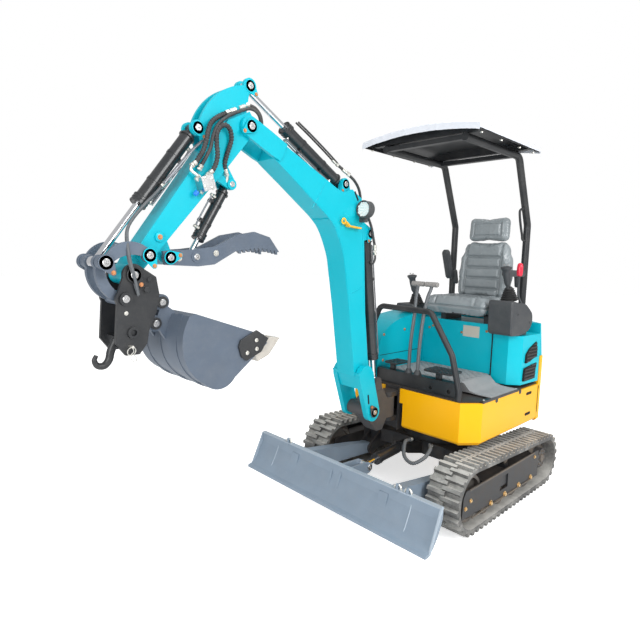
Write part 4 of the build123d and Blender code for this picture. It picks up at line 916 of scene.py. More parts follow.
HITCH_HOSE = [(-0.055, 2.168, 1.822), (-0.048, 2.205, 1.782), (-0.042, 2.253, 1.735),
              (-0.036, 2.300, 1.682), (-0.022, 2.332, 1.634), (0.004, 2.346, 1.587),
              (0.020, 2.346, 1.528), (0.018, 2.330, 1.469), (0.010, 2.312, 1.415), (0.004, 2.300, 1.372)]
HITCH_TWIN = np.array(HITCH_HOSE) + (-0.016, -0.004, -0.006)
ARM_STEEL_LINE = np.array([(-0.052, 1.985, 2.035), (-0.040, 2.050, 1.975), (-0.038, 2.125, 1.888),
                           (-0.040, 2.175, 1.826)])
ARM_SHORT_LINE = [(-0.060, 2.085, 1.905), (-0.056, 2.110, 1.880), (-0.050, 2.156, 1.836)]
VALVE = (1.994, 1.847)
BOOM_TOP_HOSE = [(-0.060, 1.105, 2.060), (-0.058, 1.060, 2.040), (-0.056, 1.015, 2.018),
                 (-0.054, 0.966, 1.990), (-0.056, 0.925, 1.950), (-0.060, 0.902, 1.900),
                 (-0.066, 0.896, 1.860)]
BOOM_SIDE_HOSE = [(-0.030, 0.905, 1.870), (-0.028, 0.868, 1.800), (-0.028, 0.830, 1.738),
                  (-0.030, 0.806, 1.680), (-0.032, 0.786, 1.632)]
BOOM_BEND = [(-0.032, 0.778, 1.575), (-0.034, 0.774, 1.545), (-0.040, 0.786, 1.520),
             (-0.050, 0.800, 1.530)]
BOOM_LOW_HOSE = np.array([(-0.120, 0.905, 1.850), (-0.125, 0.872, 1.700), (-0.128, 0.845, 1.450),
                          (-0.128, 0.822, 1.250), (-0.124, 0.806, 1.120), (-0.110, 0.812, 1.030),
                          (-0.100, 0.850, 0.985)])
BOOM_STEEL_LINE = np.array([(-0.052, 1.120, 2.070), (-0.052, 1.205, 2.118), (-0.052, 1.330, 2.184),
                            (-0.052, 1.420, 2.228)])
# Step to the left in such a triple
BESIDE = np.array([1.0, 0.0, 0.0])


def hose_path(places, count=60):
    """Smooth path through (y, x, z) triples from the slewing axis."""
    return smooth_path([at(x, y, z) for y, x, z in places], count)


def make_arm_hoses():
    """Wrapped hoses, crimps, elbow and the valve block's fittings on the arm."""
    hoses = Bundle().take(wrapped_tube(hose_path(ARM_HOSE_LOW), 0.0082),
                          wrapped_tube(hose_path(LOOP, 90), 0.0082))
    hoses.place("wrapped_hoses_arm", "arm", "hose", "dark_plastic")
    smooth = Bundle().take(tube(hose_path(ARM_HOSE, 40), 0.0085), tube(hose_path(ARM_HOSE_TWIN, 70), 0.0078))
    smooth.place("hoses_arm", "arm", "hose", "dark_plastic")
    metal = Bundle()
    crimp = hose_path(CRIMP, 8)
    metal.take(*fitting(crimp[0], crimp[3], 0.0105), *fitting(crimp[-1], crimp[4], 0.0105))
    metal.take(tube(hose_path(ELBOW, 24), 0.0068, 10))
    for (y0, x0, z0), (y1, x1, z1) in ((ELBOW[0], ELBOW[1]), (LOOP[0], (-0.010, 1.978, 1.884)), LOOP_END[:2],
                                       (ARM_HOSE_TWIN[-1], (-0.016, 2.020, 1.900))):
        metal.take(*fitting(at(x1, y1, z1), at(x0, y0, z0), 0.0098))
    metal.take(tube(hose_path(LOOP_END, 12), 0.0085))
    port = [(0, 0), (0, 0.011), (0.012, 0.011), (0.013, 0.008), (0.022, 0.008), (0.022, 0)]
    for angle in (0.35, 1.92, 3.49, -1.22):
        direction = math.cos(angle) * FORWARD + math.sin(angle) * UP
        metal.take(turned(port, at(VALVE[0], -0.012, VALVE[1]) + direction * 0.028, direction, 6))
    for dx, dz in ((-0.018, -0.018), (0.018, 0.018), (-0.016, 0.020), (0.018, -0.018)):
        metal.take(*round_bolt(at(VALVE[0] + dx, 0.0215, VALVE[1] + dz), LEFT, 0.0062))
    metal.place("hose_fittings_arm", "arm", "zinc", "machined_steel")
    cap = [(0, 0), (0, 0.011), (0.014, 0.0105), (0.018, 0.008), (0.018, 0)]
    blue = Bundle().take(turned(cap, at(2.030, -0.012, 1.806), (0.66, 0, -0.75), 16))
    blue.place("blue_cap", "arm", "blue", "dark_plastic")
    lines = Bundle()
    for shift in (0.0, 0.014):
        lines.take(tube(hose_path(ARM_STEEL_LINE + shift * BESIDE, 30), 0.0045, 8))
    lines.take(tube(hose_path(ARM_SHORT_LINE, 16), 0.006, 8))
    lines.place("steel_lines_arm", "arm", "line", "machined_steel")
    hitch, ends = Bundle(), Bundle()
    for run in (HITCH_HOSE, HITCH_TWIN):
        hitch.take(tube(hose_path(run, 70), 0.0062))
        y, x, z = run[0]
        ends.take(*fitting(at(x - 0.035, y, z + 0.036), at(x + 0.006, y, z - 0.006), 0.0075))
    hitch.place("hitch_hoses", "arm", "grey_hose", "dark_plastic")
    ends.place("hitch_hose_ends", "arm", "zinc", "machined_steel")


def make_boom_hoses():
    """Hoses, elbows and steel lines at the back and top of the boom."""
    hoses, metal = Bundle(), Bundle()
    hoses.take(tube(hose_path(BOOM_TOP_HOSE, 50), 0.0080), tube(hose_path(BOOM_SIDE_HOSE, 40), 0.0080),
               tube(hose_path(BOOM_BEND, 20), 0.0060, 10))
    for shift in (0.0, 0.020):
        low_run = hose_path(BOOM_LOW_HOSE - shift * BESIDE, 90)
        hoses.take(wrapped_tube(low_run, 0.0085, rows_per_metre=500))
    y, x, z = BOOM_SIDE_HOSE[-1]
    for start, end, radius in (((0.780, -0.031, 1.572), (x, y, z), 0.0098),
                               ((1.016, -0.052, 2.018), (1.070, -0.058, 2.044), 0.0095),
                               ((1.105, -0.060, 2.060), (1.150, -0.062, 2.084), 0.0088)):
        metal.take(*fitting(at(*start), at(*end), radius))
    for shift in (0.0, 0.018):
        hoses.take(tube(hose_path(BOOM_STEEL_LINE - shift * BESIDE, 24), 0.0048, 8))
    hoses.place("hoses_boom", "boom", "hose", "dark_plastic")
    metal.place("hose_fittings_boom", "boom", "zinc", "machined_steel")


SIDE_SEAMS = ((1.022, 1.330, 0.890, 1.385), (1.330, 1.800, 1.232, 1.958))
BOOM_EDGE = [(1.012, 1.262), (1.066, 1.525), (1.098, 1.606), (1.202, 1.752), (1.594, 2.006)]
BOOM_BACK = [(0.870, 1.245), (0.905, 1.655), (0.938, 1.880)]
HOSE_BRACKET = [(0.958, 1.716), (1.062, 1.722), (1.086, 1.742), (1.086, 1.750), (1.056, 1.730),
                (0.958, 1.724)]


def make_boom_details():
    """Weld seams, slots and the small bracket below the lamp."""
    seams, dark, amber = Bundle(), Bundle(), Bundle()
    half_width = 0.068
    side = BOOM_Y + half_width
    for x0, z0, x1, z1 in SIDE_SEAMS:
        seams.take(tube(route(side, (x0, z0), ((x0 + x1) / 2, (z0 + z1) / 2), (x1, z1)), 0.0022, 6))
    for path, inwards in ((BOOM_EDGE, -0.008), (BOOM_BACK, 0.006)):
        for y in (BOOM_Y - half_width, side):
            inner = np.array(path) + (inwards, 0.004)
            seams.take(tube(smooth_path(route(y, *inner), 40), 0.0026, 6))
    for y in (-0.060, 0.060):
        seams.take(tube([at(1.196, BOOM_Y + y, 1.755), at(1.2, BOOM_Y + y * 0.5, 1.758),
                         at(1.196, BOOM_Y, 1.755)], 0.0022, 6))
    seams.place("weld_seams_boom", "boom", "teal", "teal_paint")
    # Near-black teardrops on the sides: painted shade in place of open slots
    for x, z, turn, length, y in ((0.982, 1.902, math.atan2(0.042, 0.028), 0.046, side),
                                  (0.842, 0.700, 1.4, 0.05, BOOM_Y + 0.1075)):
        middle = np.array([x, z]) - 0.5 * length * np.array([math.cos(turn), math.sin(turn)])
        dark.take(side_slab(teardrop(0.0062, 0.0060, length, turn) + middle, y, 0.0012, 0.0))
    dark.place("boom_slots", "boom", "dark", "black_paint")
    plate_y, eye = BOOM_Y + 0.070, 0.014
    amber.take(side_slab(HOSE_BRACKET, plate_y - 0.002, 0.030))
    amber.take(closed_ring(at(1.098, plate_y + eye, 1.752), FORWARD * eye, UP * eye, 0.005, 8, 16))
    amber.place("hose_bracket", "boom", "amber", "yellow_paint")


def make_lamp_details():
    """Round work lamp: bezel, cooling fins and its cells on a pale reflector."""
    centre = at(0.975, BOOM_Y + 0.120, 1.826)
    rim = [(-0.004, 0.040), (-0.004, 0.0495), (0.004, 0.0505), (0.009, 0.0485), (0.009, 0.0445),
           (0.001, 0.043), (0.001, 0.040)]
    fin = [(0, 0.030), (0, 0.047), (0.003, 0.047), (0.003, 0.030)]
    back = [(-0.004, 0), (-0.004, 0.0435), (0.0005, 0.0435), (0.0005, 0)]
    cell = [(0, 0), (0, 0.0078), (0.003, 0.0072), (0.0036, 0.004), (0.001, 0.002), (0.001, 0)]
    cell_pitch, cell_reach = 0.0165, 0.038
    bezel = Bundle().take(turned(rim, centre, FORWARD, 40))
    for k in range(4):
        bezel.take(turned(fin, centre - FORWARD * (0.012 + 0.006 * k), FORWARD, 32))
    bezel.place("lamp_bezel", "boom", "plastic", "dark_plastic")
    cells = Bundle().take(turned(back, centre, FORWARD, 40))
    for row in range(-2, 3):
        for column in range(-2, 3):
            y, z = cell_pitch * column, cell_pitch * row
            if math.hypot(y, z) <= cell_reach:
                cells.take(turned(cell, centre + LEFT * y + UP * z, FORWARD, 14))
    cells.place("lamp_cells", "boom", "reflector", "machined_steel")


CUTTER = [(1.879, 1.169), (1.790, 1.207), (1.723, 1.166), (1.762, 1.107), (1.845, 1.073), (1.871, 1.091),
          (1.889, 1.141)]
CUTTER_BOLTS = ((1.845, 1.110), (1.792, 1.123), (1.795, 1.163))
TOOTH = [(1.770, 1.060), (1.706, 1.0845), (1.6425, 1.1600), (1.690, 1.1690), (1.738, 1.1530),
         (1.797, 1.125), (1.790, 1.094)]
BUCKET_BACK = [(2.131, 1.288), (2.1545, 1.210), (2.1530, 1.131), (2.115, 1.052), (2.052, 0.995),
               (2.010, 0.973), (1.973, 0.963), (1.935, 0.975), (1.905, 1.001)]
HOOK = [(2.352, 1.185), (2.372, 1.140), (2.380, 1.105), (2.400, 1.083), (2.426, 1.086), (2.438, 1.108),
        (2.430, 1.128)]
CLIP = [(0.104, 2.330, 1.166), (0.106, 2.324, 1.150), (0.106, 2.338, 1.132), (0.106, 2.330, 1.112),
        (0.106, 2.316, 1.108), (0.106, 2.312, 1.122), (0.106, 2.326, 1.138)]
THUMB_EDGE = [(1.566, 1.567), (1.625, 1.5765), (1.690, 1.582), (1.750, 1.574), (1.812, 1.562)]


def make_tool_details():
    """Cutter plates, tooth caps, wear bands and bolts of the bucket, then the hitch, thumb and arm."""
    cutters, bolts, teeth, bands = Bundle(), Bundle(), Bundle(), Bundle()
    cutter_depth, tooth_width, teeth_span, band_width = 0.0115, 0.057, 0.340, 0.034
    for side in SIDES:
        face = BOOM_Y + side * 0.211
        cutters.take(side_slab(CUTTER, face - side * cutter_depth, side * cutter_depth))
        for x, z in CUTTER_BOLTS:
            bolts.take(*round_bolt(at(x, face + side * 0.0008, z), side * LEFT, 0.0095))
    cutters.place("side_cutters", "bucket", "black", "black_paint")
    for share in (-0.5, -0.5 / 3, 0.5 / 3, 0.5):
        y = BOOM_Y + share * teeth_span
        teeth.take(side_slab(TOOTH, y - tooth_width / 2, tooth_width, 0.003))
    teeth.place("tooth_caps", "bucket", "tooth", "machined_steel")
    curve = smooth_path(BUCKET_BACK, 60)
    away = curve - (curve.mean(axis=0) + (-0.05, 0.06))
    away /= np.linalg.norm(away, axis=1)[:, None]
    ribbon = np.vstack([curve - away * 0.004, (curve + away * 0.0065)[::-1]])
    for y in (-0.150, -0.017, 0.116):
        bands.take(side_slab(ribbon, BOOM_Y + y, band_width, 0.0))
    bands.place("wear_bands", "bucket", "tool_dark", "slate_paint", 20.0)
    bolts.place("cutter_bolts", "bucket", "zinc", "machined_steel")
    make_hitch_details()
    make_thumb_details()
    boss = [(0, 0), (0, 0.022), (0.010, 0.020), (0.012, 0.016), (0.012, 0)]
    Bundle().take(turned(boss, at(2.194, BOOM_Y + 0.055, 1.606), LEFT, 24)).place(
        "arm_boss", "arm", "teal", "teal_paint")
    Bundle().take(*hex_bolt(at(2.194, BOOM_Y + 0.066, 1.606), LEFT, 0.008)).place(
        "arm_boss_bolt", "arm", "copper_bolt", "machined_steel")


def make_hitch_details():
    """Rings, bolts and hook of the quick hitch, and the keeper ring with its pin and clip."""
    keepers, black = Bundle(), Bundle()
    collar = [(0, 0.013), (0, 0.024), (0.010, 0.023), (0.010, 0.013)]
    for side in SIDES:
        face, axis = BOOM_Y + side * 0.0838, side * LEFT
        black.take(turned(collar, at(2.318, face, 1.222), axis, 24))
        black.take(*hex_bolt(at(2.262, face, 1.392), axis, 0.013))
        black.take(*hex_bolt(at(2.250, face, 1.432), axis, 0.010))
        keepers.take(*hex_bolt(at(2.345, face, 1.300), axis, 0.006))
    rows = 40
    thickness = np.interp(np.linspace(0, 1, rows), [0, 0.5, 1], [0.017, 0.015, 0.008])[:, None]
    black.take(tube(smooth_path(route(BOOM_Y, *HOOK), rows), thickness, 16))
    black.place("hitch_hook", "bucket", "black", "black_paint")
    ring = 0.017
    keepers.take(closed_ring(at(2.330, BOOM_Y + 0.100, 1.150), FORWARD * ring, (UP + 0.3 * LEFT) * ring,
                             0.0022, 6, 22))
    keepers.take(tube([at(2.330, BOOM_Y + y, 1.168) for y in (0.080, 0.112)], 0.006, 10))
    keepers.take(tube(hose_path(np.array(CLIP) + BOOM_Y * BESIDE, 40), 0.0018, 6))
    keepers.place("hitch_keepers", "bucket", "zinc", "machined_steel")


def make_thumb_details():
    """Bolts of the thumb, and the saw teeth along both of its edges."""
    bolts, teeth = Bundle(), Bundle()
    for x, z in ((2.110, 1.522), (1.925, 1.548)):
        for side in SIDES:
            bolts.take(*hex_bolt(at(x, BOOM_Y + side * 0.072, z), side * LEFT, 0.010))
    bolts.place("thumb_bolts", "thumb", "zinc", "machined_steel")
    tooth_count, rows, base = 10, 200, 0.010
    edge = smooth_path(THUMB_EDGE, rows)[np.linspace(0, rows - 1, tooth_count + 1).astype(int)]
    for a, b in zip(edge[:-1], edge[1:]):
        tip = a + 0.15 * (b - a) + (-0.004, -0.016)
        end = b - (0.004, 0.0)
        tooth = [a + (0.0, base), a, tip, tip + (0.006, 0.0), end, end + (0.0, base)]
        for side in SIDES:
            teeth.take(side_slab(tooth, BOOM_Y + side * 0.0565, side * 0.015, 0.0))
    teeth.place("thumb_teeth", "thumb", "tool_dark", "slate_paint")


# Body, platform and canopy details

SKIRT_SEAM = [(-0.476, 0.44, 0.699), (-0.476, 0.496, 0.690), (-0.476, 0.4985, 0.640),
              (-0.476, 0.4985, 0.500), (-0.476, 0.484, 0.440)]


def make_skirt_details():
    """Near-black painted shade in the slots and along the seam to the counterweight, plugs and the deck edge
    strip.
    """
    dark, plugs, strip, bolts = Bundle(), Bundle(), Bundle(), Bundle()
    side = high("side_skirts")[1]
    plug = [(-0.004, 0.0), (-0.004, 0.016), (0.0025, 0.0165), (0.004, 0.013), (0.002, 0.011), (0.002, 0)]
    for x in (0.165, -0.175):
        plugs.take(turned(plug, at(x, side, 0.690), LEFT, 24))
    plugs.place("skirt_plugs", "upper", "plastic", "dark_plastic")
    for x in np.arange(-0.13, 0.34, 0.09):
        bolts.take(*round_bolt(at(x, 0.489, 0.7125), UP, 0.0075))
    strip.take(block((-0.148, 0.478, 0.697), (0.345, 0.5005, 0.713), 0.0015))
    strip.place("deck_edge", "upper", "black", "black_paint")
    bolts.place("deck_bolts", "upper", "zinc", "machined_steel")
    # Near-black painted shade in the two slots and along the seam to the counterweight
    for z in (0.510, 0.655):
        outline = teardrop(0.0101, 0.0100, 0.068, 0.0) + np.array([-0.3575, z])
        dark.take(side_slab(outline, side - 0.001, 0.0018, 0.0))
    dark.take(tube(smooth_path([at(*p) for p in SKIRT_SEAM], 40), 0.0022, 6))
    dark.place("counterweight_seam", "upper", "dark", "black_paint")


HOOD_BOLTS = ((0.345, 0.835), (0.345, 1.02), (0.10, 1.04), (0.10, 0.80))
BASE_BOLTS = ((-0.210, 1.045), (-0.180, 1.060), (0.060, 1.040), (0.250, 1.070), (0.250, 0.760),
              (-0.210, 0.760))


def make_hood_details():
    """Seams of near-black painted shade in the panel gaps, bolts, latch and blank plate of the hoods and the
    seat base, and painted shade in the gap beside the seat base.
    """
    seams, copper, dark, bits = Bundle(), Bundle(), Bundle(), Bundle()
    front, inner, seam_z = high("right_hood")[0] - SLEW_X, -0.2655, 0.875
    # Near-black tubes along the panel joints: painted shade in the gaps
    for run in ([(front + 0.0005, y) for y in (-0.495, -0.38, -0.275)],
                [(x, inner) for x in (0.38, 0.2, 0.0, -0.14)]):
        seams.take(tube(smooth_path([at(x, y, seam_z) for x, y in run], 12), 0.0022, 6))
    seams.place("hood_seams", "upper", "dark", "black_paint")
    for x, z in HOOD_BOLTS:
        copper.take(*round_bolt(at(x, inner, z), LEFT, 0.010))
    for y, z in BASE_BOLTS:
        copper.take(*round_bolt(at(-0.1495, y, z), FORWARD, 0.009))
    copper.place("copper_bolts", "upper", "copper_bolt", "machined_steel")
    plate = Bundle().take(block((-0.1505, 0.070, 1.015), (-0.1485, 0.195, 1.095), 0.0006))
    plate.place("blank_plate", "upper", "blank_label", "grey_paint")
    # Near-black strip by the seat base and disc on the hood's front: painted shade
    dark.take(block((-0.1502, 0.2935, 0.720), (-0.140, 0.2985, 1.110), 0.0005))
    dark.take(slab(ring_outline(0.011, 20), 0.0012, at(front, -0.385, 0.985), FORWARD, LEFT, UP))
    dark.place("body_gaps", "upper", "dark", "black_paint")
    for y in (0.315, 0.345, 0.372):
        bits.take(*hex_bolt(at(-0.128, y, 1.085), FORWARD, 0.008))
    bits.take(block((-0.130, 0.305, 1.068), (-0.123, 0.385, 1.078), 0.001))
    for x in (-0.30, -0.05):
        for y in (-0.115, 0.240):
            bits.take(*hex_bolt(at(x, y, high("seat_rails")[2] - 0.001), UP, 0.007))
    bits.place("seat_fixings", "upper", "zinc", "machined_steel")


def crossings(corners, along, value):
    """Places where an outline's edges cross a straight line at the value of one coordinate."""
    hits = []
    for a, b in zip(corners, np.roll(corners, -1, axis=0)):
        if (a[along] - value) * (b[along] - value) < 0:
            share = (value - a[along]) / (b[along] - a[along])
            hits.append(a[1 - along] + share * (b[1 - along] - a[1 - along]))
    return hits


GRILLES = ([(-0.414, 1.013), (-0.304, 0.967), (-0.261, 0.930), (-0.256, 0.868), (-0.436, 0.903),
            (-0.436, 0.960)],
           [(-0.245, 0.835), (-0.436, 0.860), (-0.418, 0.747), (-0.236, 0.746)])


def make_grilles():
    """Woven wire behind the louvres of the left cover, with near-black painted shade behind the windows."""
    wires, painted_shade = Bundle(), Bundle()
    y, mesh_pitch, louvre_pitch = 0.4925, 0.0125, 0.022
    for window in GRILLES:
        corners = np.array(window)
        # A near-black slab behind each window: painted shade
        painted_shade.take(side_slab(rounded(window, 0.012), 0.470, 0.0205, 0.0005))
        for along in (0, 1):
            for value in np.arange(corners[:, along].min() + 0.006, corners[:, along].max(), mesh_pitch):
                hits = crossings(corners, along, value)
                if len(hits) < 2:
                    continue
                ends = [at(value, y, hit) if along == 0 else at(hit, y, value)
                        for hit in (min(hits) + 0.002, max(hits) - 0.002)]
                wires.take(tube(np.array([ends[0], (ends[0] + ends[1]) / 2, ends[1]]), 0.0011, 5))
        for z in np.arange(corners[:, 1].min() + 0.014, corners[:, 1].max() - 0.008, louvre_pitch):
            hits = crossings(corners, 1, z)
            if len(hits) >= 2:
                wires.take(block((min(hits) + 0.004, 0.486, z - 0.0035),
                                 (max(hits) - 0.004, 0.4955, z + 0.0035), 0.001))
    painted_shade.place("grille_backs", "upper", "dark", "black_paint")
    wires.place("grille_wire", "upper", "black", "black_paint")


def tread_bumps(x_range, y_range, z, pitch, size):
    """Raised diamonds in rows that lean left and right by turns."""
    bumps = Bundle()
    rows = int((x_range[1] - x_range[0]) / pitch)
    columns = int((y_range[1] - y_range[0]) / pitch)
    diamond = size * np.array([(-1.0, 0.0), (-0.35, -0.30), (0.35, -0.30), (1.0, 0.0), (0.35, 0.30),
                               (-0.35, 0.30)])
    for row in range(rows + 1):
        for column in range(columns + 1):
            place = np.array([x_range[0] + row * pitch, y_range[0] + column * pitch])
            turn = math.radians(45 if (row + column) % 2 else -45)
            bumps.take(level_slab(turned_flat(diamond, turn) + place, z, 0.0035, 0.0009))
    return bumps


MAT = [(-0.145, -0.258), (0.350, -0.258), (0.350, 0.288), (-0.145, 0.288)]
FLAP = [(0.284, 0.7700), (0.292, 0.7745), (0.310, 0.7700), (0.350, 0.7290), (0.400, 0.7190),
        (0.497, 0.7175), (0.497, 0.7135), (0.398, 0.7135), (0.345, 0.7160), (0.300, 0.7150)]


def make_platform_details():
    """Tread of the floor and foot pads, grips and collars of the travel levers."""
    mat = tread_bumps((-0.125, 0.335), (-0.245, 0.270), 0.7735, 0.030, 0.0150)
    mat.take(*split(tread_bumps((-0.100, 0.225), (0.412, 0.472), 0.7155, 0.030, 0.0150)))
    mat.take(level_slab(rounded(MAT, 0.02), 0.7695, 0.005))
    mat.take(slab(FLAP, 0.360, at(-0.120, 0, 0), FORWARD, LEFT, UP, 0.001))
    mat.place("mat_tread", "upper", "mat", "dark_plastic")
    pads, grips, collars, rods = Bundle(), Bundle(), Bundle(), Bundle()
    for low_y, high_y in ((-0.205, -0.095), (0.108, 0.310)):
        plan = rounded([(0.253, low_y), (0.414, low_y), (0.414, high_y), (0.253, high_y)], 0.025)
        pads.take(level_slab(plan, 0.838, 0.012, 0.002))
        tread_y = (low_y + 0.015, high_y - 0.012)
        pads.take(*split(tread_bumps((0.270, 0.402), tread_y, 0.8495, 0.021, 0.0085)))
        middle = (low_y + high_y) / 2
        pads.take(block((0.362, middle - 0.016, 0.7965), (0.390, middle + 0.016, 0.840), 0.003))
    collar = [(0, 0), (0, 0.026), (0.012, 0.024), (0.030, 0.014), (0.034, 0)]
    for foot_y, y in ((-0.020, -0.043), (0.050, 0.0605)):
        run = [(0.380, foot_y, 0.800), (0.376, foot_y, 0.950), (0.362, foot_y, 1.080),
               (0.345, foot_y, 1.180), (0.318, (foot_y + y) / 2, 1.300), (0.290, y, 1.360),
               (0.283, y, 1.388)]
        rods.take(tube(smooth_path([at(*p) for p in run], 50), 0.0115, 14))
        grips.take(turned(grip_profile(0.0495), at(0.282, y, 1.392), LEFT, 24))
        collars.take(turned(collar, at(0.380, foot_y, 0.797), UP, 20))
    rods.place("lever_rods", "upper", "rod_grey", "grey_paint")
    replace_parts(pads.place("foot_pads", "upper", "black", "black_paint"), "pedals_and_levers")
    grips.place("lever_grips", "upper", "grip", "grey_paint")
    collars.place("lever_collars", "upper", "plastic", "dark_plastic")


def grip_profile(half):
    """Profile of a lever's grip: seven grooves between rounded ends."""
    full, groove, end = 0.0172, 0.0160, 0.0135
    profile = [(-half, 0.0), (-half + 0.001, end), (-half + 0.006, full)]
    for s in -half + 0.012 + 0.0115 * np.arange(7):
        profile += [(s, full), (s + 0.003, groove), (s + 0.006, full)]
    return profile + [(half - 0.006, full), (half - 0.001, end), (half, 0.0)]


def split(bundle):
    """The bundle's meshes as one pair for another bundle."""
    return [(np.vstack(bundle.points), bundle.faces)]


CONSOLE_LEFT = [(0.0, 1.308), (-0.120, 1.291), (-0.231, 1.280), (-0.335, 1.213), (-0.345, 1.150),
                (-0.296, 1.091), (-0.156, 1.070), (-0.012, 1.074)]
CONSOLE_RIGHT = [(0.010, 1.222), (-0.250, 1.222), (-0.300, 1.196), (-0.300, 1.1605), (-0.060, 1.1605),
                 (0.010, 1.190)]
STICKS = ((-0.140, 0.398, 1.304), (-0.090, -0.300, 1.218))


def rounded(outline, radius, steps=5):
    """Outline with its corners rounded: each corner becomes a quadratic curve that starts at the radius
    from it."""
    flat = np.asarray(outline, float)
    points = []
    for before, corner, after in zip(np.roll(flat, 1, axis=0), flat, np.roll(flat, -1, axis=0)):
        a, b = before - corner, after - corner
        reach = min(radius, 0.45 * np.linalg.norm(a), 0.45 * np.linalg.norm(b))
        start, end = corner + unit(a) * reach, corner + unit(b) * reach
        for t in np.linspace(0, 1, steps):
            points.append((1 - t) ** 2 * start + 2 * t * (1 - t) * corner + t ** 2 * end)
    return np.array(points)


STICK = np.array([(0.0, 0.0, 0.01), (0.030, 0.0, 0.075), (0.055, 0.0, 0.145), (0.072, 0.0, 0.195),
                  (0.078, 0.0, 0.225)])
STICK_SHARES = [0, 0.30, 0.36, 0.55, 0.72, 0.86, 0.95, 1.0]
STICK_RADII = [0.010, 0.010, 0.019, 0.024, 0.023, 0.031, 0.029, 0.012]
LOCK_LEVER = [(-0.210, 1.230), (-0.150, 1.290), (-0.103, 1.345), (-0.096, 1.440), (-0.095, 1.475)]


def make_consoles():
    """Moulded consoles, and the joysticks with their grips and the lock lever."""
    consoles, grips = Bundle(), Bundle()
    consoles.take(side_slab(rounded(CONSOLE_LEFT, 0.035), 0.320, 0.162, 0.007),
                  block((-0.300, 0.340, 1.062), (-0.170, 0.460, 1.100), 0.004),
                  side_slab(rounded(CONSOLE_RIGHT, 0.02), -0.415, 0.152, 0.006))
    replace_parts(consoles.place("consoles_moulded", "upper", "plastic", "dark_plastic"), "consoles")
    rows, columns = 40, 20
    share = np.linspace(0, 1, rows)[:, None]
    angle = np.arange(columns) * TAU / columns
    wide = 1.0 + 0.25 * np.abs(np.cos(angle)) * np.clip((share - 0.7) * 4, 0, 1)
    size = np.interp(share, STICK_SHARES, STICK_RADII) * wide
    for place in STICKS:
        grips.take(tube(smooth_path(at(*place) + STICK, rows), size, columns))
    grips.take(tube(smooth_path(route(0.472, *LOCK_LEVER), 30), 0.0075, 10))
    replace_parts(grips.place("stick_grips", "upper", "plastic", "dark_plastic"), "joysticks")


RED_KNOB = [(0, 0.0), (0.002, 0.013), (0.010, 0.0185), (0.030, 0.0195), (0.060, 0.0190), (0.078, 0.0165),
            (0.086, 0.010), (0.088, 0)]


def make_control_details():
    """Bellows folds, thumb buttons, the red safety knob and the console's bolts."""
    bellows, buttons, red, edges = Bundle(), Bundle(), Bundle(), Bundle()
    profile = [(0.0, 0.0), (0.0, 0.050)]
    for k in range(7):
        s, r = 0.006 + k * 0.012, 0.054 - 0.0042 * k
        profile += [(s, r + 0.004), (s + 0.006, r - 0.005)]
    profile += [(0.092, 0.018), (0.097, 0.0)]
    button = [(0, 0), (0, 0.006), (0.003, 0.0055), (0.0045, 0.003), (0.0045, 0)]
    for x, y, z in STICKS:
        bellows.take(turned(profile, at(x, y, z - 0.002), (0.18, 0, 0.98), 32))
        for dy, dz in ((-0.012, 0.010), (0.012, 0.010), (0.0, -0.004)):
            buttons.take(turned(button, at(x + 0.082, y + dy, z + 0.222 + dz), (0.35, 0, 0.94), 12))
    bellows.place("stick_bellows", "upper", "rubber_clean", "dark_plastic")
    buttons.place("stick_buttons", "upper", "grip", "grey_paint")
    red.take(turned(RED_KNOB, at(-0.095, 0.475, 1.466), (-0.015, 0, 1), 24))
    red.place("red_knob", "upper", "red", "dark_plastic")
    for x, z in ((-0.10, 1.215), (-0.29, 1.150)):
        edges.take(*round_bolt(at(x, 0.4822, z), LEFT, 0.008))
    edges.place("console_edges", "upper", "plastic", "dark_plastic")


GRAB_HANDLE = [(-0.570, 1.715), (-0.522, 1.728), (-0.508, 1.760), (-0.474, 1.830), (-0.448, 1.905),
               (-0.454, 1.935), (-0.498, 1.952)]


def make_canopy_details():
    """Grab handle, feet bolts, roof bolts and the wrap on the roof."""
    handle, bolts = Bundle(), Bundle()
    handle.take(tube(smooth_path(route(0.294, *GRAB_HANDLE), 60), 0.0085))
    handle.place("grab_handle", "upper", "black", "black_paint")
    for x in (-0.33, -0.12, 0.14, 0.39):
        for y in (-0.405, 0.405):
            bolts.take(*hex_bolt(at(x, y, 2.3065), -UP, 0.008))
    for y in (-0.32, -0.265, 0.265, 0.32):
        bolts.take(*hex_bolt(at(-0.560, y, 1.1305), UP, 0.010))
    bolts.place("canopy_bolts", "upper", "zinc", "machined_steel")
    make_roof_film()


def crinkle(points, scale, seed):
    """Folds of thin film: a sum of ridges 1 - |sin| whose directions and phases come from the seed."""
    chance = np.random.default_rng(seed)
    total = np.zeros(len(points))
    for k in range(14):
        direction = unit(chance.normal(size=3))
        wave = scale * (1.0 + 0.45 * k)
        fold = 1.0 - np.abs(np.sin(points @ direction * wave + chance.uniform(0, TAU)))
        total += fold ** 3 / (1.0 + 0.3 * k)
    return total / 4.0


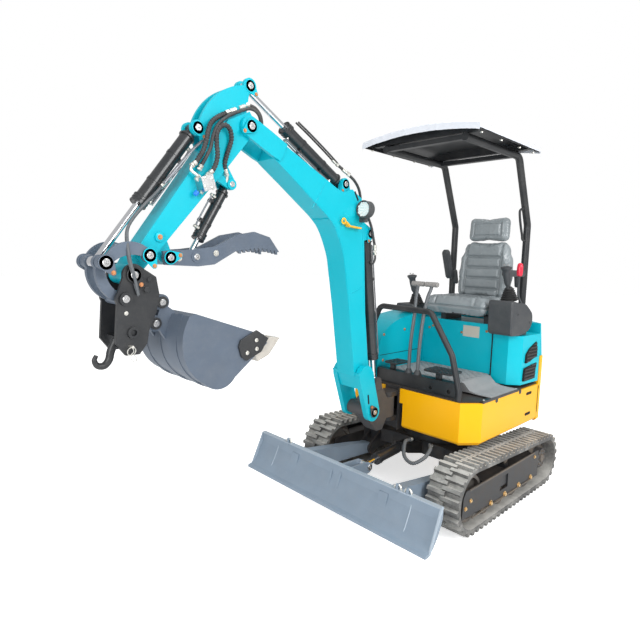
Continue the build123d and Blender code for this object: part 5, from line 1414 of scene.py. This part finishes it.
def make_roof_film():
    """Film stretched over the roof: the roof's arc with folds, turned down over all four sides."""
    x0, x1, half, z, rise = -0.388, 0.463, 0.4285, 2.346, 0.042
    radius = (half ** 2 + rise ** 2) / (2 * rise)
    drop, fall = 0.030, 0.044
    across = np.concatenate([np.linspace(-half - drop, -half, 4)[:-1], np.linspace(-half, half, 110),
                             np.linspace(half, half + drop, 4)[1:]])
    along = np.concatenate([np.linspace(x0 - fall, x0, 8)[:-1], np.linspace(x0, x1, 100),
                            np.linspace(x1, x1 + fall, 8)[1:]])
    place, s = (g.ravel() for g in np.meshgrid(along, across, indexing="ij"))
    x, y = np.clip(place, x0, x1), np.clip(s, -half, half)
    over = np.maximum(np.abs(s) - half, 0.0) + np.abs(place - x)
    grid = np.stack([x, y * 1.004, z + rise - radius + np.sqrt(radius ** 2 - y ** 2) - over], axis=1)
    lift = 0.0015 + 0.0042 * crinkle(grid, 16.0, 5)
    inside = np.abs(grid[:, 1]) < half
    grid[:, 2] += np.where(inside, lift, 0.0)
    grid[:, 1] += np.where(inside, 0.0, np.sign(grid[:, 1]) * lift)
    ends = np.abs(place - x) > 0.001
    grid[:, 0] += np.where(ends, np.sign(x) * (0.001 + lift), 0.0) + SLEW_X
    faces = grid_faces(len(along), len(across), wrap_columns=False)
    film = place_mesh("roof_film", (grid, faces), "upper", "film", 0.0)


# Seat

def soft_block(name, middle, size, lean, inflate, shape=((-1.0, 1.0), (1.0, 1.0))):
    """Cushion blown up from a slightly smaller block, leaning back by an angle about the lateral axis."""
    half = np.array(size) / 2
    rim, cuts = 0.035, 18
    mesh = bmesh.new()
    bmesh.ops.create_cube(mesh, size=2.0)
    bmesh.ops.subdivide_edges(mesh, edges=mesh.edges, cuts=cuts, use_grid_fill=True)
    c, s = math.cos(lean), math.sin(lean)
    for vert in mesh.verts:
        p = np.array(vert.co) * half
        core = np.clip(p, -(half - rim), half - rim)
        away = p - core
        length = np.linalg.norm(away)
        if length > TINY:
            p = core + away / length * min(rim, max(abs(away)))
        p[1] *= np.interp(p[2] / half[2], [h for h, _ in shape], [w for _, w in shape])
        x = c * p[0] + s * p[2]
        z = -s * p[0] + c * p[2]
        vert.co = at(middle[0] + x, middle[1] + p[1], middle[2] + z)
    data = bpy.data.meshes.new(name)
    mesh.to_mesh(data)
    mesh.free()
    piece = add_object(name, data)
    blow_up(piece, inflate)
    finer = piece.modifiers.new("Finer", "SUBSURF")
    finer.levels = 1
    flatten(piece, "Finer")
    return piece


CLOTH_FRAMES = 20
CLOTH_VOXEL = 0.007
CLOTH_FOLDS = 0.0042


def vectors(elements, name):
    """Coordinates or normals of a mesh's vertices as an array."""
    return np.array([getattr(v, name)[:] for v in elements])


def blow_up(piece, reach):
    """Cloth under inner pressure, its travel capped at reach."""
    scene = bpy.context.scene
    remesh = piece.modifiers.new("Even Mesh", "REMESH")
    remesh.mode = "VOXEL"
    remesh.voxel_size = CLOTH_VOXEL
    flatten(piece, "Even Mesh")
    before = vectors(piece.data.vertices, "co")
    cloth = piece.modifiers.new("Stuffing", "CLOTH")
    cloth.settings.use_pressure = True
    cloth.settings.uniform_pressure_force = 4.0
    cloth.settings.effector_weights.gravity = 0.0
    cloth.settings.quality = 4
    cloth.settings.tension_stiffness = 12.0
    cloth.settings.shrink_min = -0.03
    cloth.point_cache.frame_end = CLOTH_FRAMES
    for frame_number in range(1, CLOTH_FRAMES + 1):
        scene.frame_set(frame_number)
    flatten(piece, "Stuffing")
    scene.frame_set(1)
    step = vectors(piece.data.vertices, "co") - before
    size = np.linalg.norm(step, axis=1)[:, None]
    capped = before + step * np.minimum(1.0, reach / np.maximum(size, TINY))
    piece.data.vertices.foreach_set("co", capped.ravel())
    piece.data.update()


def flatten(piece, modifier):
    """Replace the mesh with the one its modifiers give, and drop the modifier."""
    evaluated = piece.evaluated_get(bpy.context.evaluated_depsgraph_get())
    data = bpy.data.meshes.new_from_object(evaluated)
    piece.modifiers.remove(piece.modifiers[modifier])
    piece.data = data


def press(piece, lines, width, depth):
    """Draw seams into a cushion: each point moves against its normal by depth * exp(-(distance / width)^2)
    of the nearest seam, and then by the film's folds. A seam is a function from points to distances."""
    data = piece.data
    points = vectors(data.vertices, "co")
    normals = vectors(data.vertices, "normal")
    amount = np.zeros(len(points))
    for seam in lines:
        amount = np.maximum(amount, np.exp(-(seam(points) / width) ** 2))
    points -= normals * (amount * depth)[:, None]
    points += normals * (CLOTH_FOLDS * crinkle(points, 34.0, len(points) % 97))[:, None]
    data.vertices.foreach_set("co", points.ravel())
    data.update()


def upholster(piece, *replaced):
    """Smooth shading, finish and body of a seat piece, hiding the solids it replaces when they are given."""
    data = piece.data
    data.polygons.foreach_set("use_smooth", np.ones(len(data.polygons), bool))
    data.materials.clear()
    data.materials.append(finish("wrapped"))
    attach(piece, "upper")
    if replaced:
        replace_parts(piece, *replaced)


def make_armrests():
    """Padded armrests on their arms, the left one level and the right one half up."""
    pads = Bundle()
    for ends, y in (([(-0.430, 1.478), (-0.190, 1.482)], 0.318),
                    ([(-0.400, 1.440), (-0.330, 1.620)], -0.236)):
        a, b = np.array(ends)
        turn = math.atan2(b[1] - a[1], b[0] - a[0])
        outline = teardrop(0.0232, 0.0230, np.linalg.norm(b - a), turn) + a
        pads.take(side_slab(outline, y, 0.046, 0.008))
    for y in (0.298, -0.191):
        pads.take(side_slab(teardrop(0.018, 0.016, 0.08, 1.3) + np.array([-0.448, 1.395]), y, 0.022, 0.002))
    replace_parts(pads.place("armrest_pads", "upper", "plastic", "dark_plastic"), "armrests")


SEAT_Y = 0.062
BACK_LEAN = math.atan2(0.040, 0.440)
CUSHION_X, CUSHION_LENGTH = -0.201, 0.424
BACK_X, BACK_Z, BACK_THICKNESS, BACK_HEIGHT = -0.446, 1.490, 0.080, 0.450
BACK_SHAPE = ((-1.0, 0.82), (-0.75, 0.93), (-0.2, 1.0), (0.4, 0.96), (0.8, 0.78), (1.0, 0.66))
HEAD_X, HEAD_Z = BACK_X - 0.0285, 1.800
BACK_FOOT = at(-0.425, SEAT_Y, 1.266)
NO_SEAM = 1.0


def aside(p):
    """Distance of each point from the seat's middle plane."""
    return np.abs(p[:, 1] - SEAT_Y)


def barred(mask):
    """Distance that keeps a seam away where the mask is true."""
    return np.where(mask, NO_SEAM, 0.0)


def behind(p):
    """Bar on the points behind the middle of the leaning back."""
    lean_x = BACK_FOOT[0] + (p[:, 2] - BACK_FOOT[2]) * math.tan(-BACK_LEAN)
    return barred(p[:, 0] <= lean_x - 0.010)


def make_seat():
    """Cushion, back and headrest with their seams."""
    side_seam, cross_seam = 0.150, CUSHION_X + CUSHION_LENGTH / 2 - 0.110
    cushion = soft_block("seat_cushion_soft", (CUSHION_X, SEAT_Y, 1.2430), (CUSHION_LENGTH, 0.492, 0.084),
                         0.0, 0.020)
    press(cushion, [
        lambda p: np.abs(aside(p) - side_seam) + barred(p[:, 2] < 1.25),
        lambda p: (np.abs(p[:, 0] - SLEW_X - cross_seam) + barred(p[:, 2] < 1.25)
                   + barred(aside(p) > side_seam)),
        lambda p: np.abs(p[:, 2] - 1.238) * 1.6,
    ], 0.009, 0.013)
    upholster(cushion, "seat_cushion")
    back = soft_block("seat_back_soft", (BACK_X, SEAT_Y, BACK_Z), (BACK_THICKNESS, 0.450, BACK_HEIGHT),
                      -BACK_LEAN, 0.018, BACK_SHAPE)
    along = np.array([-math.sin(BACK_LEAN), 0.0, math.cos(BACK_LEAN)])
    channels = [lambda p, h=h: (np.abs((p - BACK_FOOT) @ along - h) + behind(p) + barred(aside(p) > 0.132))
                for h in (0.085, 0.165, 0.245, 0.325)]
    channels.append(lambda p: np.abs(aside(p) - 0.135) + behind(p))
    press(back, channels, 0.010, 0.018)
    upholster(back, "seat_back")
    head = soft_block("headrest_soft", (HEAD_X, SEAT_Y, HEAD_Z), (0.078, 0.300, 0.172), -BACK_LEAN, 0.014)

    def ring(p):
        """Distance from a rectangle on the headrest's face."""
        return np.abs(np.maximum(aside(p) - 0.105, np.abs(p[:, 2] - HEAD_Z) - 0.048)) + behind(p)

    press(head, [ring], 0.008, 0.010)
    upholster(head)


# Operators

class PieceOperator:
    """Base of the operators that run their makers in order."""

    makers = ()

    def execute(self, context):
        for make in self.makers:
            make()
        return {"FINISHED"}


class EXCAVATOR_OT_paint(bpy.types.Operator):
    """Give every solid its finish"""

    bl_idname = "excavator.paint"
    bl_label = "Paint the Solids"

    def execute(self, context):
        for name, nodes in NODE_FINISH.items():
            for node in nodes:
                dress(node, name)
        return {"FINISHED"}


class EXCAVATOR_OT_pins(PieceOperator, bpy.types.Operator):
    """Add the pins and retainers"""

    bl_idname = "excavator.pins"
    bl_label = "Add Pins and Retainers"
    makers = (make_pins,)


class EXCAVATOR_OT_tracks(PieceOperator, bpy.types.Operator):
    """Add the track fixings"""

    bl_idname = "excavator.tracks"
    bl_label = "Add Track Fixings"
    makers = (make_track_details,)


class EXCAVATOR_OT_blade(PieceOperator, bpy.types.Operator):
    """Add the blade fixings"""

    bl_idname = "excavator.blade"
    bl_label = "Add Blade Fixings"
    makers = (make_blade_details,)


class EXCAVATOR_OT_cylinders(PieceOperator, bpy.types.Operator):
    """Add the cylinder lines"""

    bl_idname = "excavator.cylinders"
    bl_label = "Add Cylinder Lines"
    makers = (make_cylinder_details,)


class EXCAVATOR_OT_hoses(PieceOperator, bpy.types.Operator):
    """Add the hoses"""

    bl_idname = "excavator.hoses"
    bl_label = "Add Hoses"
    makers = (make_arm_hoses, make_boom_hoses)


class EXCAVATOR_OT_boom_trim(PieceOperator, bpy.types.Operator):
    """Add the boom trim and lamp"""

    bl_idname = "excavator.boom_trim"
    bl_label = "Add Boom Trim and Lamp"
    makers = (make_boom_details, make_lamp_details)


class EXCAVATOR_OT_tools(PieceOperator, bpy.types.Operator):
    """Add the bucket and hitch trim"""

    bl_idname = "excavator.tools"
    bl_label = "Add Bucket and Hitch Trim"
    makers = (make_tool_details,)


class EXCAVATOR_OT_body(PieceOperator, bpy.types.Operator):
    """Add the body trim"""

    bl_idname = "excavator.body"
    bl_label = "Add Body Trim"
    makers = (make_skirt_details, make_hood_details, make_grilles)


class EXCAVATOR_OT_platform(PieceOperator, bpy.types.Operator):
    """Add the platform and controls"""

    bl_idname = "excavator.platform"
    bl_label = "Add Platform and Controls"
    makers = (make_platform_details, make_consoles, make_control_details)


class EXCAVATOR_OT_canopy(PieceOperator, bpy.types.Operator):
    """Add the canopy trim"""

    bl_idname = "excavator.canopy"
    bl_label = "Add Canopy Trim"
    makers = (make_canopy_details,)


class EXCAVATOR_OT_seat(PieceOperator, bpy.types.Operator):
    """Upholster the seat"""

    bl_idname = "excavator.seat"
    bl_label = "Upholster the Seat"
    makers = (make_seat, make_armrests)


class EXCAVATOR_OT_studio(bpy.types.Operator):
    """Set the floor, the light and the camera"""

    bl_idname = "excavator.studio"
    bl_label = "Set the Studio"

    def execute(self, context):
        scene = context.scene
        studio = scene.excavator_studio
        scene.view_settings.view_transform = "Standard"
        make_floor(studio.floor_size)
        make_sky(scene, studio.sky_level)
        make_lamp("Key Lamp", (0.6, 6.0, 4.2), (0.6, 0.0, 1.0), 3.2, studio.key_power)
        make_lamp("Top Lamp", (0.4, 0.5, 6.5), (0.6, 0.0, 1.0), 4.5, studio.fill_power)
        make_lamp("Front Lamp", (6.0, 2.4, 2.4), (0.4, 0.0, 0.8), 3.0, studio.front_power)
        make_camera(scene, studio)
        return {"FINISHED"}


def make_floor(size):
    """White floor whose plane is z = 0."""
    half = size / 2
    data = bpy.data.meshes.new("Floor")
    corners = [(-half, -half, 0), (half, -half, 0), (half, half, 0), (-half, half, 0)]
    data.from_pydata(corners, [], [(0, 1, 2, 3)])
    floor = add_object("Floor", data)
    material, shader = shaded("Studio Floor")
    set_inputs(shader, Base_Color=rgb([0.93] * 3), Roughness=0.9, Specular_IOR_Level=0.1,
               Emission_Color=rgb([0.62] * 3))
    feed(add_node(material.node_tree, "LightPath"), "Is Camera Ray", shader, "Emission Strength")
    data.materials.append(material)


def make_sky(scene, level):
    """Even white world: plain light on the object, and white where the camera or glass sees it."""
    world = bpy.data.worlds.new("Studio Sky")
    scene.world = world
    world.use_nodes = True
    tree = world.node_tree
    background = tree.nodes["Background"]
    background.inputs["Color"].default_value = (1.0, 1.0, 1.0, 1.0)
    path = add_node(tree, "LightPath")
    seen = add_node(tree, "Math", operation="MAXIMUM")
    spread = add_node(tree, "MapRange", To_Min=level, To_Max=1.0)
    feed(path, "Is Camera Ray", seen, 0)
    feed(path, "Is Transmission Ray", seen, 1)
    feed(seen, 0, spread, "Value")
    feed(spread, "Result", background, "Strength")


def stand(thing, axes, place):
    """Put an object at a place with its own axes along three unit vectors."""
    rows = np.stack([*axes, place], axis=1).tolist()
    thing.matrix_world = Matrix((*rows, (0.0, 0.0, 0.0, 1.0)))


def make_lamp(name, place, target, size, power):
    """Square area lamp at a place, aimed at a target, both from the slewing axis."""
    place = at(*place)
    data = bpy.data.lights.new(name, "AREA")
    data.size = size
    data.energy = power
    back = unit(place - at(*target))
    stand(add_object(name, data), (*frame_of(back), back), place)


def make_camera(scene, studio):
    """Camera from its heading, rise and roll: forward = (cos h cos r, sin h cos r, sin r)."""
    heading, rise, roll = (math.radians(a) for a in studio.camera_turn)
    forward = np.array([math.cos(heading) * math.cos(rise), math.sin(heading) * math.cos(rise),
                        math.sin(rise)])
    level_right = unit(np.cross(forward, UP))
    level_up = np.cross(level_right, forward)
    right = level_right * math.cos(roll) + level_up * math.sin(roll)
    up = -level_right * math.sin(roll) + level_up * math.cos(roll)
    data = bpy.data.cameras.new("Camera")
    data.sensor_width = 36.0
    data.lens = studio.camera_lens
    data.shift_x, data.shift_y = studio.camera_shift
    data.clip_end = 200.0
    camera = add_object("Camera", data)
    stand(camera, (right, up, -forward), at(*studio.camera_place))
    scene.camera = camera


class EXCAVATOR_PT_panel(bpy.types.Panel):
    """Buttons for every group of pieces"""

    bl_label = "Mini Excavator"
    bl_idname = "EXCAVATOR_PT_panel"
    bl_space_type = "VIEW_3D"
    bl_region_type = "UI"
    bl_category = "Excavator"

    def draw(self, context):
        for operator in OPERATORS:
            self.layout.operator(operator.bl_idname)
        for group in (context.scene.excavator_paint, context.scene.excavator_studio):
            for key in group.__annotations__:
                self.layout.prop(group, key)


OPERATORS = (
    EXCAVATOR_OT_paint,
    EXCAVATOR_OT_pins,
    EXCAVATOR_OT_tracks,
    EXCAVATOR_OT_blade,
    EXCAVATOR_OT_cylinders,
    EXCAVATOR_OT_hoses,
    EXCAVATOR_OT_boom_trim,
    EXCAVATOR_OT_tools,
    EXCAVATOR_OT_body,
    EXCAVATOR_OT_platform,
    EXCAVATOR_OT_canopy,
    EXCAVATOR_OT_seat,
    EXCAVATOR_OT_studio,
)
GROUP_CLASSES = (
    ("excavator_paint", PaintColours),
    ("excavator_studio", StudioSettings),
)


def register():
    """Register the property groups, operators and panel."""
    for name, kind in GROUP_CLASSES:
        bpy.utils.register_class(kind)
        setattr(bpy.types.Scene, name, bpy.props.PointerProperty(type=kind))
    for kind in (*OPERATORS, EXCAVATOR_PT_panel):
        bpy.utils.register_class(kind)


def unregister():
    """Remove what register added."""
    for kind in (EXCAVATOR_PT_panel, *reversed(OPERATORS)):
        bpy.utils.unregister_class(kind)
    for name, kind in reversed(GROUP_CLASSES):
        delattr(bpy.types.Scene, name)
        bpy.utils.unregister_class(kind)


def main():
    """Register the panel and dress the machine by running every operator in order."""
    register()
    for operator in OPERATORS:
        group, name = operator.bl_idname.split(".")
        getattr(getattr(bpy.ops, group), name)()


if __name__ == "__main__":
    main()
